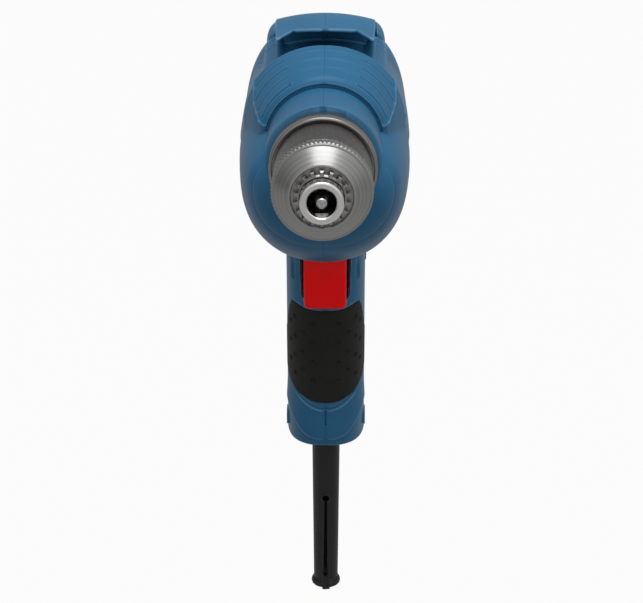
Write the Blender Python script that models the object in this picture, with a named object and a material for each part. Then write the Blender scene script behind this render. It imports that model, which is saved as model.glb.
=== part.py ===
"""Pistol-grip electric drill with a keyed three-jaw chuck.

Metres, +Z up. The origin is on the spindle axis, in the front face of the 43 mm collar.
The chuck points to -Y, the handle hangs down along -Z and is swept back towards +Y.
"""

import math

import bmesh
import bpy
from mathutils import Matrix, Vector

# Clearances
SEAT_GAP = 0.0003
SPLIT_GAP = 0.0003
RUNNING_GAP = 0.0005
CUT_MARGIN = 0.002
WELD = 0.001
# Share of volume that rounding may add or take in a Boolean
SLACK = 1e-4

# Gear train: one stage, pinion cut on the armature shaft
GEAR_MODULE = 0.0008
PINION_TEETH = 8
GEAR_TEETH = 48
GEAR_WIDTH = 0.010
GEAR_ADDENDUM = 0.75
GEAR_DEDENDUM = 1.25
GEAR_ROOT_HALF = math.radians(2.2)
GEAR_TIP_HALF = math.radians(0.7)
PINION_ADDENDUM = 0.94
PINION_DEDENDUM = 1.0
PINION_ROOT_HALF = math.radians(13)
PINION_TIP_HALF = math.radians(4)
PINION_WIDTH = 0.0135

# Spindle, its ball bearing and its rear bush
SPINDLE_THREAD_RADIUS = 0.0063
SPINDLE_THREAD_LENGTH = 0.015
SPINDLE_FLANGE_RADIUS = 0.009
SPINDLE_RADIUS = 0.006
SPINDLE_TAIL_RADIUS = 0.004
SPINDLE_TAIL_LENGTH = 0.0135
SPINDLE_BEARING_RADIUS = 0.014
SPINDLE_BEARING_WIDTH = 0.008
SPINDLE_BEARING_RING = 0.0026
NOSE_WALL = 0.0047
BEARING_LIP = 0.003
GEAR_SETBACK = 0.011
CIRCLIP_WIDTH = 0.0012
CIRCLIP_HEIGHT = 0.002
BUSH_WALL = 0.0028
BUSH_LENGTH = 0.009

# Die-cast plate between the gears and the motor
PLATE_SETBACK = 0.0052
PLATE_THICKNESS = 0.005
PLATE_UPPER_RADIUS = 0.0202
PLATE_LOWER_RADIUS = 0.017
PLATE_BOSS_WALL = 0.002
PLATE_GROOVE_DEPTH = 0.0017
BULKHEAD_WALL = 0.0015

# Armature
SHAFT_RADIUS = 0.0046
SHAFT_OVERRUN = 0.0005
FRONT_JOURNAL_RADIUS = 0.0037
REAR_JOURNAL_RADIUS = 0.0032
FRONT_BEARING_RADIUS = 0.011
FRONT_BEARING_WIDTH = 0.007
REAR_BEARING_RADIUS = 0.0095
REAR_BEARING_WIDTH = 0.006
BEARING_RING = 0.0021
FAN_SETBACK = 0.0025
FAN_RADIUS = 0.025
FAN_WIDTH = 0.008
FAN_PLATE = 0.0015
FAN_HUB_RADIUS = 0.0085
FAN_BLADES = 10
FAN_BLADE_THICKNESS = 0.0012
FAN_BLADE_ROOT = 0.0115
FAN_BLADE_INSET = 0.0005
CORE_RADIUS = 0.0176
CORE_LENGTH = 0.038
CORE_SLOTS = 12
CORE_SLOT_DEPTH = 0.005
CORE_SLOT_WIDTH = 0.0022
CORE_SETBACK = 0.0085
WINDING_LENGTH = 0.006
WINDING_RADIUS = 0.015
WINDING_ROUND = 0.001
WINDING_TAPER = 0.005
COMMUTATOR_SETBACK = 0.002
COMMUTATOR_RADIUS = 0.0115
COMMUTATOR_LENGTH = 0.013
RISER_HEIGHT = 0.0011
RISER_LENGTH = 0.002
REAR_BEARING_SETBACK = 0.0065
CUSHION_WALL = 0.0022

# Stator and field coils
STATOR_RADIUS = 0.026
STATOR_YOKE = 0.003
STATOR_AIR_GAP = 0.0006
POLE_HALF_ANGLE = math.radians(38)
COIL_HALF_ANGLE = math.radians(60)
COIL_WIRE_RADIUS = 0.0021
COIL_OVERHANG = 0.0027
STATOR_SIDES = 24
COIL_STEPS = 8

# Brush gear
BRUSH_WIDTH = 0.006
BRUSH_HEIGHT = 0.0075
BRUSH_LENGTH = 0.0082
BRUSH_GAP = 0.0004
HOLDER_WALL = 0.0008
HOLDER_SETBACK = 0.0015
HOLDER_MOUTH = 0.0012
BRUSH_SPRING_LENGTH = 0.0038
BRUSH_SPRING_RADIUS = 0.0024
BRUSH_SPRING_WIRE = 0.0003
BRUSH_SPRING_TURNS = 3

# Housing
WALL = 0.0026
COLLAR_RADIUS = 0.0215
COLLAR_LENGTH = 0.0212
COLLAR_CHAMFER = 0.0008
HOOD_SHOULDER = 0.0024
HOOD_RIDGES = 5
RIDGE_PITCH = 0.005
RIDGE_RISE = 0.0016
RIDGE_STEP = 0.0006
HOOD_REAR_FALL = 0.003
HOOD_POWER = 2.6
AIR_SPACE = 0.0053
KEEL_SPACE = 0.001
BODY_CROWN = 0.0305
BODY_WAIST = 0.015
KEEL_POWER = 2.15
TAIL_SPACE = 0.011
RIB_THICKNESS = 0.003
BODY_SIDES = 24
HOLLOW_SIDES = 16
TURRET_SIDES = 24
# Loft stations: share of the length, of the half width, of the crown height, of the keel
# depth and of the waist depth, then the corner power of the upper half.
BODY_STATIONS = (
    (0.0135, 0.535, -0.066, 0.385, 0.80, 2.0),
    (0.054, 0.732, 0.098, 0.635, 0.87, 2.0),
    (0.108, 0.859, 0.230, 0.798, 0.93, 2.0),
    (0.189, 0.935, 0.360, 0.923, 1.00, 2.1),
    (0.284, 0.969, 0.525, 0.971, 1.00, 2.2),
    (0.351, 0.985, 0.680, 0.990, 1.00, 2.3),
    (0.419, 0.996, 0.770, 1.000, 1.00, 2.4),
    (0.541, 1.000, 0.800, 1.000, 1.00, 2.4),
    (0.622, 0.995, 0.836, 1.000, 1.00, 2.4),
    (0.709, 0.970, 0.905, 0.990, 0.95, 2.7),
    (0.855, 0.895, 0.780, 0.940, 0.82, 2.6),
    (0.953, 0.740, 0.540, 0.808, 0.74, 2.4),
    (1.000, 0.487, 0.220, 0.577, 0.67, 2.2),
)

# Belt hook over the valley behind the hood
HOOK_HALF_WIDTH = 0.0194
HOOK_THICKNESS = 0.0027
HOOK_EDGE = 0.0013
HOOK_TIP = 0.059
HOOK_NOTCH = 0.0625
HOOK_NOTCH_HALF_WIDTH = 0.0125
HOOK_CREST = 0.080
HOOK_ROOT = 0.0925
HOOK_HEEL = 0.105
HOOK_TIP_HEIGHT = 0.0348
HOOK_CREST_HEIGHT = 0.0375
HOOK_HEEL_HEIGHT = 0.0305
HOOK_ROOT_FALL = 0.001
HOOK_FILLET = 0.003
HOOK_SINK = 0.0075
HOOK_FLARE = 0.001
HOOK_ARCH_RADIUS = 0.068
HOOK_ROWS = 7

# Saddle: the raised back of the body that the hook springs from
SADDLE_HALF_WIDTH = 0.0242
SADDLE_POWER = 5.0
SADDLE_BASE = 0.014
SADDLE_FRONT = 0.090
SADDLE_LENGTH = 0.036
SADDLE_HEIGHT = 0.0172
SADDLE_SIDES = 20
# Loft stations: share of the length, of the half width and of the height.
SADDLE_STATIONS = (
    (0.00, 0.970, 0.940),
    (0.20, 1.000, 1.000),
    (0.45, 0.980, 0.942),
    (0.72, 0.900, 0.779),
    (1.00, 0.720, 0.520),
)

# Handle
HANDLE_WIDTH = 0.0332
HANDLE_DEPTH = 0.045
HANDLE_WALL = 0.0042
HANDLE_ROOT = 0.100
HANDLE_LEAN = 0.0192
BASE_DROP = 0.160
BASE_FLOOR = 0.003
HANDLE_SIDES = 18
HANDLE_POWER = 2.5
# Loft stations: share of the drop, of the lean, of the half depth and of the half width.
HANDLE_STATIONS = (
    (0.250, 0.00, 1.067, 1.035),
    (0.350, 0.03, 1.044, 1.022),
    (0.440, 0.08, 1.000, 1.013),
    (0.560, 0.18, 1.000, 1.010),
    (0.690, 0.34, 1.000, 1.012),
    (0.810, 0.53, 0.967, 1.012),
    (0.885, 0.68, 0.970, 1.012),
    (0.935, 0.82, 1.005, 1.028),
    (0.985, 0.97, 1.020, 1.032),
    (1.000, 1.00, 0.985, 0.985),
)

# Grip pad, let into the front of the handle
PAD_DEPTH = 0.0022
PAD_PROUD = 0.0004
PAD_TRIGGER_SPACE = 0.0033
PAD_TOP_FALL = 0.001
PAD_SIDE_DROP = 0.1227
PAD_RAKE = 0.5
PAD_WRAP = 0.031
PAD_UPPER_WRAP = 0.0215
PAD_REAR_LEAN = 0.002
PAD_SHOULDER_DROP = 0.017
PAD_LEAD = 0.004

# Trigger, switch, reversing slider and lock button
TRIGGER_HALF_WIDTH = 0.0088
TRIGGER_PROUD = 0.009
TRIGGER_TOP_DROP = 0.0593
TRIGGER_BOTTOM_DROP = 0.0855
TRIGGER_REAR_TOP_DROP = 0.0634
TRIGGER_LENGTH = 0.0215
TRIGGER_PADDLE = 0.0068
TRIGGER_HOLLOW = 0.0026
TRIGGER_CORNER = 0.004
TRIGGER_TRAVEL = 0.0065
TRIGGER_STEM_RADIUS = 0.0026
TRIGGER_STEM_LENGTH = 0.013
TRIGGER_SPRING_RADIUS = 0.0039
TRIGGER_SPRING_WIRE = 0.00045
TRIGGER_SPRING_TURNS = 6
TRIGGER_SPRING_POCKET = 0.008
SLIDER_DEPTH = 0.0095
SLIDER_HEIGHT = 0.0062
SLIDER_HALF_LENGTH = 0.0175
SLIDER_TRAVEL = 0.003
SLIDER_WAIST = 0.0012
SWITCH_RISE = 0.0033
SWITCH_DEPTH = 0.022
SWITCH_HEIGHT = 0.0345
SWITCH_SIDE_GAP = 0.0005
BUTTON_RADIUS = 0.0042
BUTTON_PROUD = 0.0007
BUTTON_TRAVEL = 0.003
BUTTON_FLANGE = 0.0009
BUTTON_DROP = 0.072
BUTTON_SETBACK = 0.0105
BUTTON_CHAMFER = 0.0006
BUTTON_POCKET = 0.0065
BUTTON_SPRING_RADIUS = 0.0029
BUTTON_SPRING_WIRE = 0.00025
BUTTON_SPRING_TURNS = 3
SHELF_THICKNESS = 0.0025
CAPACITOR_WIDTH = 0.017
CAPACITOR_DEPTH = 0.013
CAPACITOR_HEIGHT = 0.016

# Cord gland in the foot of the handle
SLEEVE_SETBACK = 0.0022
SLEEVE_TOP_RADIUS = 0.0064
SLEEVE_END_RADIUS = 0.0057
SLEEVE_BORE = 0.0037
SLEEVE_LENGTH = 0.079
SLEEVE_FLANGE_RADIUS = 0.009
SLEEVE_FLANGE = 0.003
SLEEVE_END_FLANGE_RADIUS = 0.0066
SLEEVE_END_FLANGE = 0.003
SLEEVE_HOLE_DROP = 0.0325
SLEEVE_HOLE_RADIUS = 0.0016
SLEEVE_SLIT = 0.0012
CLAMP_LENGTH = 0.022
CLAMP_WIDTH = 0.009
CLAMP_HEIGHT = 0.0045
CLAMP_SCREW_SPACING = 0.016
CLAMP_SCREW_RADIUS = 0.0013
CLAMP_SCREW_HEAD = 0.0027
CLAMP_SCREW_LENGTH = 0.0065

# Housing screws
SCREW_RADIUS = 0.0013
SCREW_HEAD_RADIUS = 0.003
SCREW_HEAD_HEIGHT = 0.0024
SCREW_HEAD_CHAMFER = 0.0007
SCREW_LENGTH = 0.020
SCREW_SEAT = 0.009
BOSS_RADIUS = 0.0044
# Screws in the body: share of its length, and of the crown height or keel depth.
BODY_SCREWS = (
    (0.149, -0.721),
    (0.358, 0.541),
    (0.608, 0.508),
    (0.848, 0.459),
    (0.824, -0.846),
)
# Screws in the handle: share of the drop, of the lean and of the depth.
HANDLE_SCREWS = (
    (0.6375, 0.27, 0.340),
    (0.9094, 0.75, 0.380),
)

# Cooling slots in the cheeks
VENT_WIDTH = 0.0024
VENT_PITCH = 0.0044
VENT_HEIGHT = 0.011
FRONT_VENT_TOP = 0.0105
REAR_VENT_TOP = 0.003
VENT_REACH = 0.010
FRONT_VENTS = 3
FRONT_VENT_START = 0.053
REAR_VENTS = 3
REAR_VENT_START = 0.1165

# Chuck, measured forward from the collar face
CHUCK_SETBACK = 0.0015
CHUCK_LENGTH = 0.0472
CHUCK_COLLAR_RADIUS = 0.0197
CHUCK_COLLAR_LENGTH = 0.0084
CHUCK_COLLAR_CHAMFER = 0.0013
CHUCK_BARREL_RADIUS = 0.014
CHUCK_BARREL_LENGTH = 0.0103
CHUCK_NOSE_RADIUS = 0.0077
CHUCK_NOSE_LENGTH = 0.0147
CHUCK_NOSE_CHAMFER = 0.0005
CHUCK_BORE = 0.0052
CHUCK_WEB = 0.0029
CHUCK_SCREW_RADIUS = 0.0025
CHUCK_SCREW_HEAD_RADIUS = 0.0045
CHUCK_SCREW_HEAD = 0.0025
CHUCK_SCREW_LENGTH = 0.011
CHUCK_SLEEVE_RADIUS = 0.0177
CHUCK_SLEEVE_WALL = 0.0014
KNURL_RADIUS = 0.0180
KNURL_LENGTH = 0.0046
CONE_RADIUS = 0.0170
CONE_LENGTH = 0.0064
CONE_FRONT_RADIUS = 0.0117
CONE_RIM = 0.0008
CROWN_RECESS = 0.0016
CONE_SETBACK = 0.0067
KEY_TEETH = 24
KEY_TOOTH_RADIUS = 0.0097
KEY_TOOTH_HEIGHT = 0.0032
KEY_TOOTH_DEPTH = 0.0010
KEY_TOOTH_ROOT_HALF = math.radians(4.6)
KEY_TOOTH_TIP_HALF = math.radians(2.8)
KEY_HOLE_RADIUS = 0.0024
KEY_HOLE_SETBACK = 0.0032
NUT_LENGTH = 0.0105
CONE_GAP = 0.0006
JAW_RADIUS = 0.0030
JAW_ANGLE = math.radians(17)
JAW_TIP_AXIS = 0.00146
JAW_TIP_SETBACK = 0.0009
JAW_TIP_RADIUS = 0.0015
JAW_TIP_CHAMFER = 0.0004
JAW_TIP_FLARE = math.radians(24)
JAW_LENGTH = 0.0285
JAW_FLARE_LENGTH = 0.012
JAW_BORE_LEAD = 0.006
JAW_OPENING = 0.010
ROUND = 18
CHUCK_SIDES = 24
CHUCK_PHASE = math.pi / 24

# Derived places along the spindle axis
AXIS_DROP = GEAR_MODULE * (PINION_TEETH + GEAR_TEETH) / 2
BEARING_Y = NOSE_WALL + SEAT_GAP
BEARING_END = BEARING_Y + SPINDLE_BEARING_WIDTH
LIP_END = BEARING_END + SEAT_GAP + BEARING_LIP
GEAR_Y = BEARING_END + GEAR_SETBACK
GEAR_END = GEAR_Y + GEAR_WIDTH
CIRCLIP_Y = GEAR_END + SEAT_GAP
PLATE_Y = GEAR_END + PLATE_SETBACK
PLATE_END = PLATE_Y + PLATE_THICKNESS
GEAR_RADIUS = GEAR_MODULE * (GEAR_TEETH / 2 + GEAR_ADDENDUM)
FRONT_BEARING_END = PLATE_Y + FRONT_BEARING_WIDTH
FAN_Y = FRONT_BEARING_END + FAN_SETBACK
FAN_END = FAN_Y + FAN_WIDTH
CORE_Y = FAN_END + CORE_SETBACK
CORE_END = CORE_Y + CORE_LENGTH
COMMUTATOR_Y = CORE_END + SEAT_GAP + WINDING_LENGTH + COMMUTATOR_SETBACK
COMMUTATOR_END = COMMUTATOR_Y + COMMUTATOR_LENGTH
REAR_BEARING_Y = COMMUTATOR_END + REAR_BEARING_SETBACK
REAR_BEARING_END = REAR_BEARING_Y + REAR_BEARING_WIDTH
STATOR_Y = CORE_Y - RUNNING_GAP
STATOR_END = CORE_END + RUNNING_GAP
BRUSH_Y = COMMUTATOR_Y + RISER_LENGTH + HOLDER_SETBACK + HOLDER_WALL + SEAT_GAP + BRUSH_WIDTH / 2
HOLDER_HALF_WIDTH = BRUSH_WIDTH / 2 + SEAT_GAP + HOLDER_WALL
HOLDER_HALF_HEIGHT = BRUSH_HEIGHT / 2 + SEAT_GAP + HOLDER_WALL
BODY_LENGTH = REAR_BEARING_END + TAIL_SPACE
BODY_HALF_WIDTH = STATOR_RADIUS + AIR_SPACE + WALL
BODY_KEEL = AXIS_DROP + STATOR_RADIUS + KEEL_SPACE + WALL

# Derived places in the handle
HANDLE_FRONT = HANDLE_ROOT - HANDLE_DEPTH / 2
PAD_TOP_DROP = TRIGGER_BOTTOM_DROP + PAD_TRIGGER_SPACE
TRIGGER_FRONT = HANDLE_FRONT - TRIGGER_PROUD
TRIGGER_BACK = TRIGGER_FRONT + TRIGGER_LENGTH
SWITCH_FRONT = TRIGGER_BACK + TRIGGER_TRAVEL + 2 * RUNNING_GAP
SWITCH_BACK = SWITCH_FRONT + SWITCH_DEPTH
SWITCH_TOP_DROP = TRIGGER_TOP_DROP - SWITCH_RISE
SWITCH_BOTTOM_DROP = SWITCH_TOP_DROP + SWITCH_HEIGHT
SWITCH_HALF_WIDTH = HANDLE_WIDTH / 2 - HANDLE_WALL - SWITCH_SIDE_GAP
STEM_DROP = (TRIGGER_REAR_TOP_DROP + TRIGGER_BOTTOM_DROP) / 2
SLIDER_FRONT = TRIGGER_FRONT + TRIGGER_PADDLE + TRIGGER_TRAVEL + 2 * RUNNING_GAP
SLIDER_BOTTOM_DROP = TRIGGER_REAR_TOP_DROP - RUNNING_GAP
SLIDER_TOP_DROP = SLIDER_BOTTOM_DROP - SLIDER_HEIGHT
BUTTON_Y = SWITCH_FRONT + BUTTON_SETBACK
BUTTON_INNER = SWITCH_HALF_WIDTH - BUTTON_POCKET
SHELF_DROP = SWITCH_BOTTOM_DROP + SEAT_GAP
CAPACITOR_TOP_DROP = SHELF_DROP + SHELF_THICKNESS + SEAT_GAP
LOWER_SHELF_DROP = CAPACITOR_TOP_DROP + CAPACITOR_HEIGHT + SEAT_GAP
FLOOR_DROP = BASE_DROP - BASE_FLOOR
SLEEVE_Y = HANDLE_ROOT + HANDLE_LEAN - SLEEVE_SETBACK
GLAND_FLANGE_TOP = FLOOR_DROP - SEAT_GAP - SLEEVE_FLANGE
GLAND_SHELF_DROP = GLAND_FLANGE_TOP - SEAT_GAP - SLEEVE_FLANGE
CLAMP_BOTTOM_DROP = GLAND_SHELF_DROP - SEAT_GAP
SCREW_PLACES = [(BODY_LENGTH * along, (BODY_CROWN if high > 0 else BODY_KEEL) * high)
                for along, high in BODY_SCREWS]
SCREW_PLACES += [(HANDLE_ROOT + HANDLE_LEAN * lean + HANDLE_DEPTH * deep, -BASE_DROP * drop)
                 for drop, lean, deep in HANDLE_SCREWS]

# Derived places in the chuck, Y coordinates
CHUCK_BACK = -CHUCK_SETBACK
CHUCK_FRONT = CHUCK_BACK - CHUCK_LENGTH
COLLAR_FRONT = CHUCK_BACK - CHUCK_COLLAR_LENGTH
BARREL_FRONT = COLLAR_FRONT - CHUCK_BARREL_LENGTH
NOSE_BACK = CHUCK_FRONT + CHUCK_NOSE_LENGTH
SPINDLE_FRONT = -CHUCK_SETBACK - SPINDLE_THREAD_LENGTH + SEAT_GAP
WEB_BACK = CHUCK_BACK - SPINDLE_THREAD_LENGTH
WEB_FRONT = WEB_BACK - CHUCK_WEB
CHUCK_SLEEVE_BACK = COLLAR_FRONT - SEAT_GAP
CHUCK_SLEEVE_FRONT = CHUCK_FRONT + CONE_SETBACK
CONE_BACK = CHUCK_SLEEVE_FRONT + CONE_LENGTH
KNURL_BACK = CONE_BACK + KNURL_LENGTH
NUT_BACK = BARREL_FRONT - SEAT_GAP
NUT_FRONT = NUT_BACK - NUT_LENGTH
CHUCK_SLEEVE_SHOULDER = NUT_FRONT - SEAT_GAP
CHUCK_SLEEVE_BORE = CHUCK_SLEEVE_RADIUS - CHUCK_SLEEVE_WALL
JAW_TIP_Y = CHUCK_FRONT + JAW_TIP_SETBACK
JAW_SLOPE = math.tan(JAW_ANGLE)
JAW_TRAVEL = JAW_OPENING / 2 / math.sin(JAW_ANGLE)
JAW_HEIGHT = JAW_RADIUS / math.cos(JAW_ANGLE)


def rotation_to(direction):
    """Rotation that turns local +Z onto a direction, with local +Y kept upright."""
    forward = Vector(direction).normalized()
    upright = Vector((0, 0, 1))
    if abs(forward.z) > 0.99:
        upright = Vector((0, 1, 0))
    side = upright.cross(forward).normalized()
    over = forward.cross(side)
    return Matrix((side, over, forward)).transposed().to_4x4()


def frame(direction, origin=(0, 0, 0)):
    return Matrix.Translation(origin) @ rotation_to(direction)


SPINDLE = frame((0, 1, 0))
MOTOR = frame((0, 1, 0), (0, 0, -AXIS_DROP))


def make_object(name, bm, place=None):
    """Link a finished bmesh to the scene, with its faces turned outwards."""
    if place is not None:
        bmesh.ops.transform(bm, matrix=place, verts=bm.verts)
    bmesh.ops.recalc_face_normals(bm, faces=bm.faces)
    mesh = bpy.data.meshes.new(name)
    bm.to_mesh(mesh)
    bm.free()
    item = bpy.data.objects.new(name, mesh)
    bpy.context.collection.objects.link(item)
    return item


def turned(name, profile, place, sides=ROUND, phase=0.0):
    """Revolve a closed (distance along, radius) profile about the local Z axis."""
    bm = bmesh.new()
    start = [bm.verts.new((radius * math.cos(phase), radius * math.sin(phase), along))
             for along, radius in profile]
    edges = [bm.edges.new((start[i], start[(i + 1) % len(start)])) for i in range(len(start))]
    bmesh.ops.spin(bm, geom=start + edges, cent=(0, 0, 0), axis=(0, 0, 1),
                   angle=2 * math.pi, steps=sides, use_merge=True)
    bmesh.ops.remove_doubles(bm, verts=bm.verts, dist=1e-7)
    bmesh.ops.dissolve_degenerate(bm, edges=bm.edges, dist=1e-7)
    loose = [edge for edge in bm.edges if not edge.link_faces]
    bmesh.ops.delete(bm, geom=loose, context="EDGES")
    return make_object(name, bm, place)


def rod(name, radius, start, end, place, sides=ROUND, phase=0.0):
    return turned(name, [(start, 0), (start, radius), (end, radius), (end, 0)], place, sides, phase)


def ring(name, inner, outer, start, end, place, sides=ROUND):
    return turned(name, [(start, inner), (start, outer), (end, outer), (end, inner)], place, sides)


def prism(name, outline, start, end, place):
    """Extrude a closed local outline along local Z."""
    bm = bmesh.new()
    face = bm.faces.new([bm.verts.new((x, y, start)) for x, y in outline])
    extruded = bmesh.ops.extrude_face_region(bm, geom=[face])
    moved = [v for v in extruded["geom"] if isinstance(v, bmesh.types.BMVert)]
    bmesh.ops.translate(bm, verts=moved, vec=(0, 0, end - start))
    return make_object(name, bm, place)


def block(name, low, high):
    bm = bmesh.new()
    bmesh.ops.create_cube(bm, size=1)
    for vert in bm.verts:
        vert.co = [low[i] if vert.co[i] < 0 else high[i] for i in range(3)]
    return make_object(name, bm)


def loft(name, rings):
    """Skin a stack of rings that have equal point counts, and cap both ends."""
    bm = bmesh.new()
    rows = [[bm.verts.new(point) for point in points] for points in rings]
    loops = []
    for row in rows:
        loops.append([bm.edges.new((row[i], row[(i + 1) % len(row)])) for i in range(len(row))])
    for lower, upper in zip(loops, loops[1:]):
        bmesh.ops.bridge_loops(bm, edges=lower + upper)
    bm.faces.new(rows[0])
    bm.faces.new(rows[-1])
    return make_object(name, bm)


def tube(name, points, radius, cyclic=False, sides=3):
    """A round wire along a list of points, as a closed mesh."""
    curve = bpy.data.curves.new(name, "CURVE")
    curve.dimensions = "3D"
    curve.bevel_depth = radius
    curve.bevel_resolution = sides - 2
    curve.use_fill_caps = True
    spline = curve.splines.new("POLY")
    spline.points.add(len(points) - 1)
    spline.use_cyclic_u = cyclic
    for slot, point in zip(spline.points, points):
        slot.co = (*point, 1)
    item = bpy.data.objects.new(name, curve)
    bpy.context.collection.objects.link(item)
    bpy.context.view_layer.update()
    mesh = bpy.data.meshes.new_from_object(item.evaluated_get(bpy.context.evaluated_depsgraph_get()))
    bpy.data.objects.remove(item)
    bm = bmesh.new()
    bm.from_mesh(mesh)
    bmesh.ops.remove_doubles(bm, verts=bm.verts, dist=1e-7)
    return make_object(name, bm)


def spring(name, radius, wire, length, turns, place):
    """A compression spring along local Z, from 0 to its length over the wire."""
    count = turns * 6
    rise = length - 2 * wire
    points = []
    for i in range(count + 1):
        turn = 2 * math.pi * turns * i / count
        points.append(place @ Vector((radius * math.cos(turn), radius * math.sin(turn),
                                      wire + rise * i / count)))
    return tube(name, points, wire, False, 2)


def measure(mesh):
    """Volume of a mesh, or nothing where an edge doesn't join exactly two faces."""
    bm = bmesh.new()
    bm.from_mesh(mesh)
    whole = len(bm.faces) > 0 and all(len(edge.link_faces) == 2 for edge in bm.edges)
    volume = bm.calc_volume() if whole else None
    bm.free()
    return volume


def combine(target, tool, operation, solvers=("EXACT", "MANIFOLD")):
    """Apply one Boolean and remove the tool, with the second solver where the first one fails."""
    body = measure(target.data)
    other = measure(tool.data)
    least, most = {"UNION": (max(body, other), body + other), "DIFFERENCE": (body - other, body),
                   "INTERSECT": (0.0, min(body, other))}[operation]
    for solver in solvers:
        change = target.modifiers.new("shape", "BOOLEAN")
        change.operation = operation
        change.solver = solver
        change.object = tool
        bpy.context.view_layer.update()
        graph = bpy.context.evaluated_depsgraph_get()
        shape = bpy.data.meshes.new_from_object(target.evaluated_get(graph))
        target.modifiers.clear()
        volume = measure(shape)
        if volume is not None and least * (1 - SLACK) <= volume <= most * (1 + SLACK):
            break
    target.data = shape
    bpy.data.objects.remove(tool)
    return target


def join(target, *tools):
    for tool in tools:
        combine(target, tool, "UNION")
    return target


def cut(target, *tools):
    for tool in tools:
        combine(target, tool, "DIFFERENCE")
    return target


def keep(target, tool):
    return combine(target, tool, "INTERSECT")


def finish(item, colour, roughness, metallic=0.0, pivot=None):
    """Give a piece its material, smooth shading and an origin on its joint's axis."""
    shade = bpy.data.materials.new(item.name)
    shade.use_nodes = True
    surface = shade.node_tree.nodes["Principled BSDF"]
    surface.inputs["Base Color"].default_value = (*colour, 1)
    surface.inputs["Roughness"].default_value = roughness
    surface.inputs["Metallic"].default_value = metallic
    item.data.materials.clear()
    item.data.materials.append(shade)
    item.data.shade_smooth()
    item.data.set_sharp_from_angle(angle=math.radians(35))
    if pivot is not None:
        item.data.transform(Matrix.Translation(-pivot.location))
        item.parent = pivot
    return item


def axis_empty(name, location):
    pivot = bpy.data.objects.new(name, None)
    pivot.location = location
    bpy.context.collection.objects.link(pivot)
    return pivot


def superellipse(count, power):
    """Unit superellipse points, counter-clockwise from +X."""
    points = []
    for i in range(count):
        turn = 2 * math.pi * i / count
        x = math.cos(turn)
        y = math.sin(turn)
        points.append((math.copysign(abs(x) ** (2 / power), x), math.copysign(abs(y) ** (2 / power), y)))
    return points


def circle(count, radius, centre=(0, 0), start=0.0, sweep=2 * math.pi):
    step = sweep / count
    return [(centre[0] + radius * math.cos(start + step * i), centre[1] + radius * math.sin(start + step * i))
            for i in range(count)]


def rectangle(half_wide, half_high):
    return [(-half_wide, -half_high), (half_wide, -half_high), (half_wide, half_high), (-half_wide, half_high)]


def toothed(count, root, tip, root_half, tip_half, phase):
    """Outline of a toothed wheel with straight flanks."""
    outline = []
    for i in range(count):
        middle = phase + 2 * math.pi * i / count
        for radius, offset in ((root, -root_half), (tip, -tip_half), (tip, tip_half), (root, root_half)):
            outline.append((radius * math.cos(middle + offset), radius * math.sin(middle + offset)))
    return outline


def two_circle_outline(upper, lower, drop, count=8):
    """Hull outline around two round seats, one above the other."""
    lean = math.asin((upper - lower) / drop)
    over = [(upper * math.cos(a), upper * math.sin(a)) for a in
            (-lean + (math.pi + 2 * lean) * i / count for i in range(count + 1))]
    under = [(lower * math.cos(a), -drop + lower * math.sin(a)) for a in
             (math.pi + lean + (math.pi - 2 * lean) * i / count for i in range(count + 1))]
    return over + under


def body_ring(station, inset=0.0, shift=0.0, sides=BODY_SIDES):
    """One section of the motor housing, optionally drawn in by a wall."""
    along, wide, high, low, waist, power = station
    half_width = BODY_HALF_WIDTH * wide - inset
    crown = BODY_CROWN * high - inset
    keel = -BODY_KEEL * low + inset
    middle = -BODY_WAIST * waist
    points = []
    for x, z in superellipse(sides, 2.0):
        turn = math.atan2(z, x)
        bend = power if z > 0 else KEEL_POWER
        across = math.copysign(abs(math.cos(turn)) ** (2 / bend), x)
        rise = abs(math.sin(turn)) ** (2 / bend)
        height = middle + rise * (crown - middle) if z > 0 else middle - rise * (middle - keel)
        points.append((half_width * across, BODY_LENGTH * along + shift, height))
    return points


def handle_ring(station, inset=0.0, lift=0.0):
    """One level section of the handle, optionally drawn in by a wall."""
    drop, lean, deep, wide = station
    centre = HANDLE_ROOT + HANDLE_LEAN * lean
    half_depth = HANDLE_DEPTH / 2 * deep - inset
    half_width = HANDLE_WIDTH / 2 * wide - inset
    return [(half_width * x, centre + half_depth * y, -BASE_DROP * drop + lift)
            for x, y in superellipse(HANDLE_SIDES, HANDLE_POWER)]


def handle_form(name, inset=0.0, floor=0.0):
    rings = [handle_ring(station, inset) for station in HANDLE_STATIONS[:-1]]
    rings.append(handle_ring(HANDLE_STATIONS[-1], inset, floor))
    if floor:
        rings.pop(-2)
    return loft(name, rings)


def hood_profile(inset=0.0):
    """Distance and radius along the ridged gear hood, front to rear."""
    start = COLLAR_LENGTH + HOOD_SHOULDER
    radius = COLLAR_RADIUS + HOOD_SHOULDER
    points = []
    for i in range(HOOD_RIDGES):
        near = start + RIDGE_PITCH * i
        points.append((near, radius + RIDGE_RISE * i - inset))
        if inset == 0:
            points.append((near + RIDGE_PITCH - RIDGE_STEP, radius + RIDGE_RISE * (i + 1) + RIDGE_STEP / 2))
    far = start + RIDGE_PITCH * HOOD_RIDGES
    points.append((far, radius + RIDGE_RISE * HOOD_RIDGES - inset))
    return points


for leftover in list(bpy.data.objects):
    bpy.data.objects.remove(leftover)

BLUE = (0.035, 0.125, 0.235)
BLACK_RUBBER = (0.012, 0.012, 0.012)
RED = (0.50, 0.010, 0.012)
STEEL = (0.56, 0.56, 0.55)
DARK_STEEL = (0.20, 0.20, 0.20)
COPPER = (0.62, 0.26, 0.11)
BRASS = (0.66, 0.48, 0.18)
ZINC = (0.48, 0.49, 0.50)
DARK_PLASTIC = (0.02, 0.02, 0.022)
CARBON = (0.03, 0.03, 0.03)
AMBER = (0.45, 0.30, 0.04)

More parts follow.
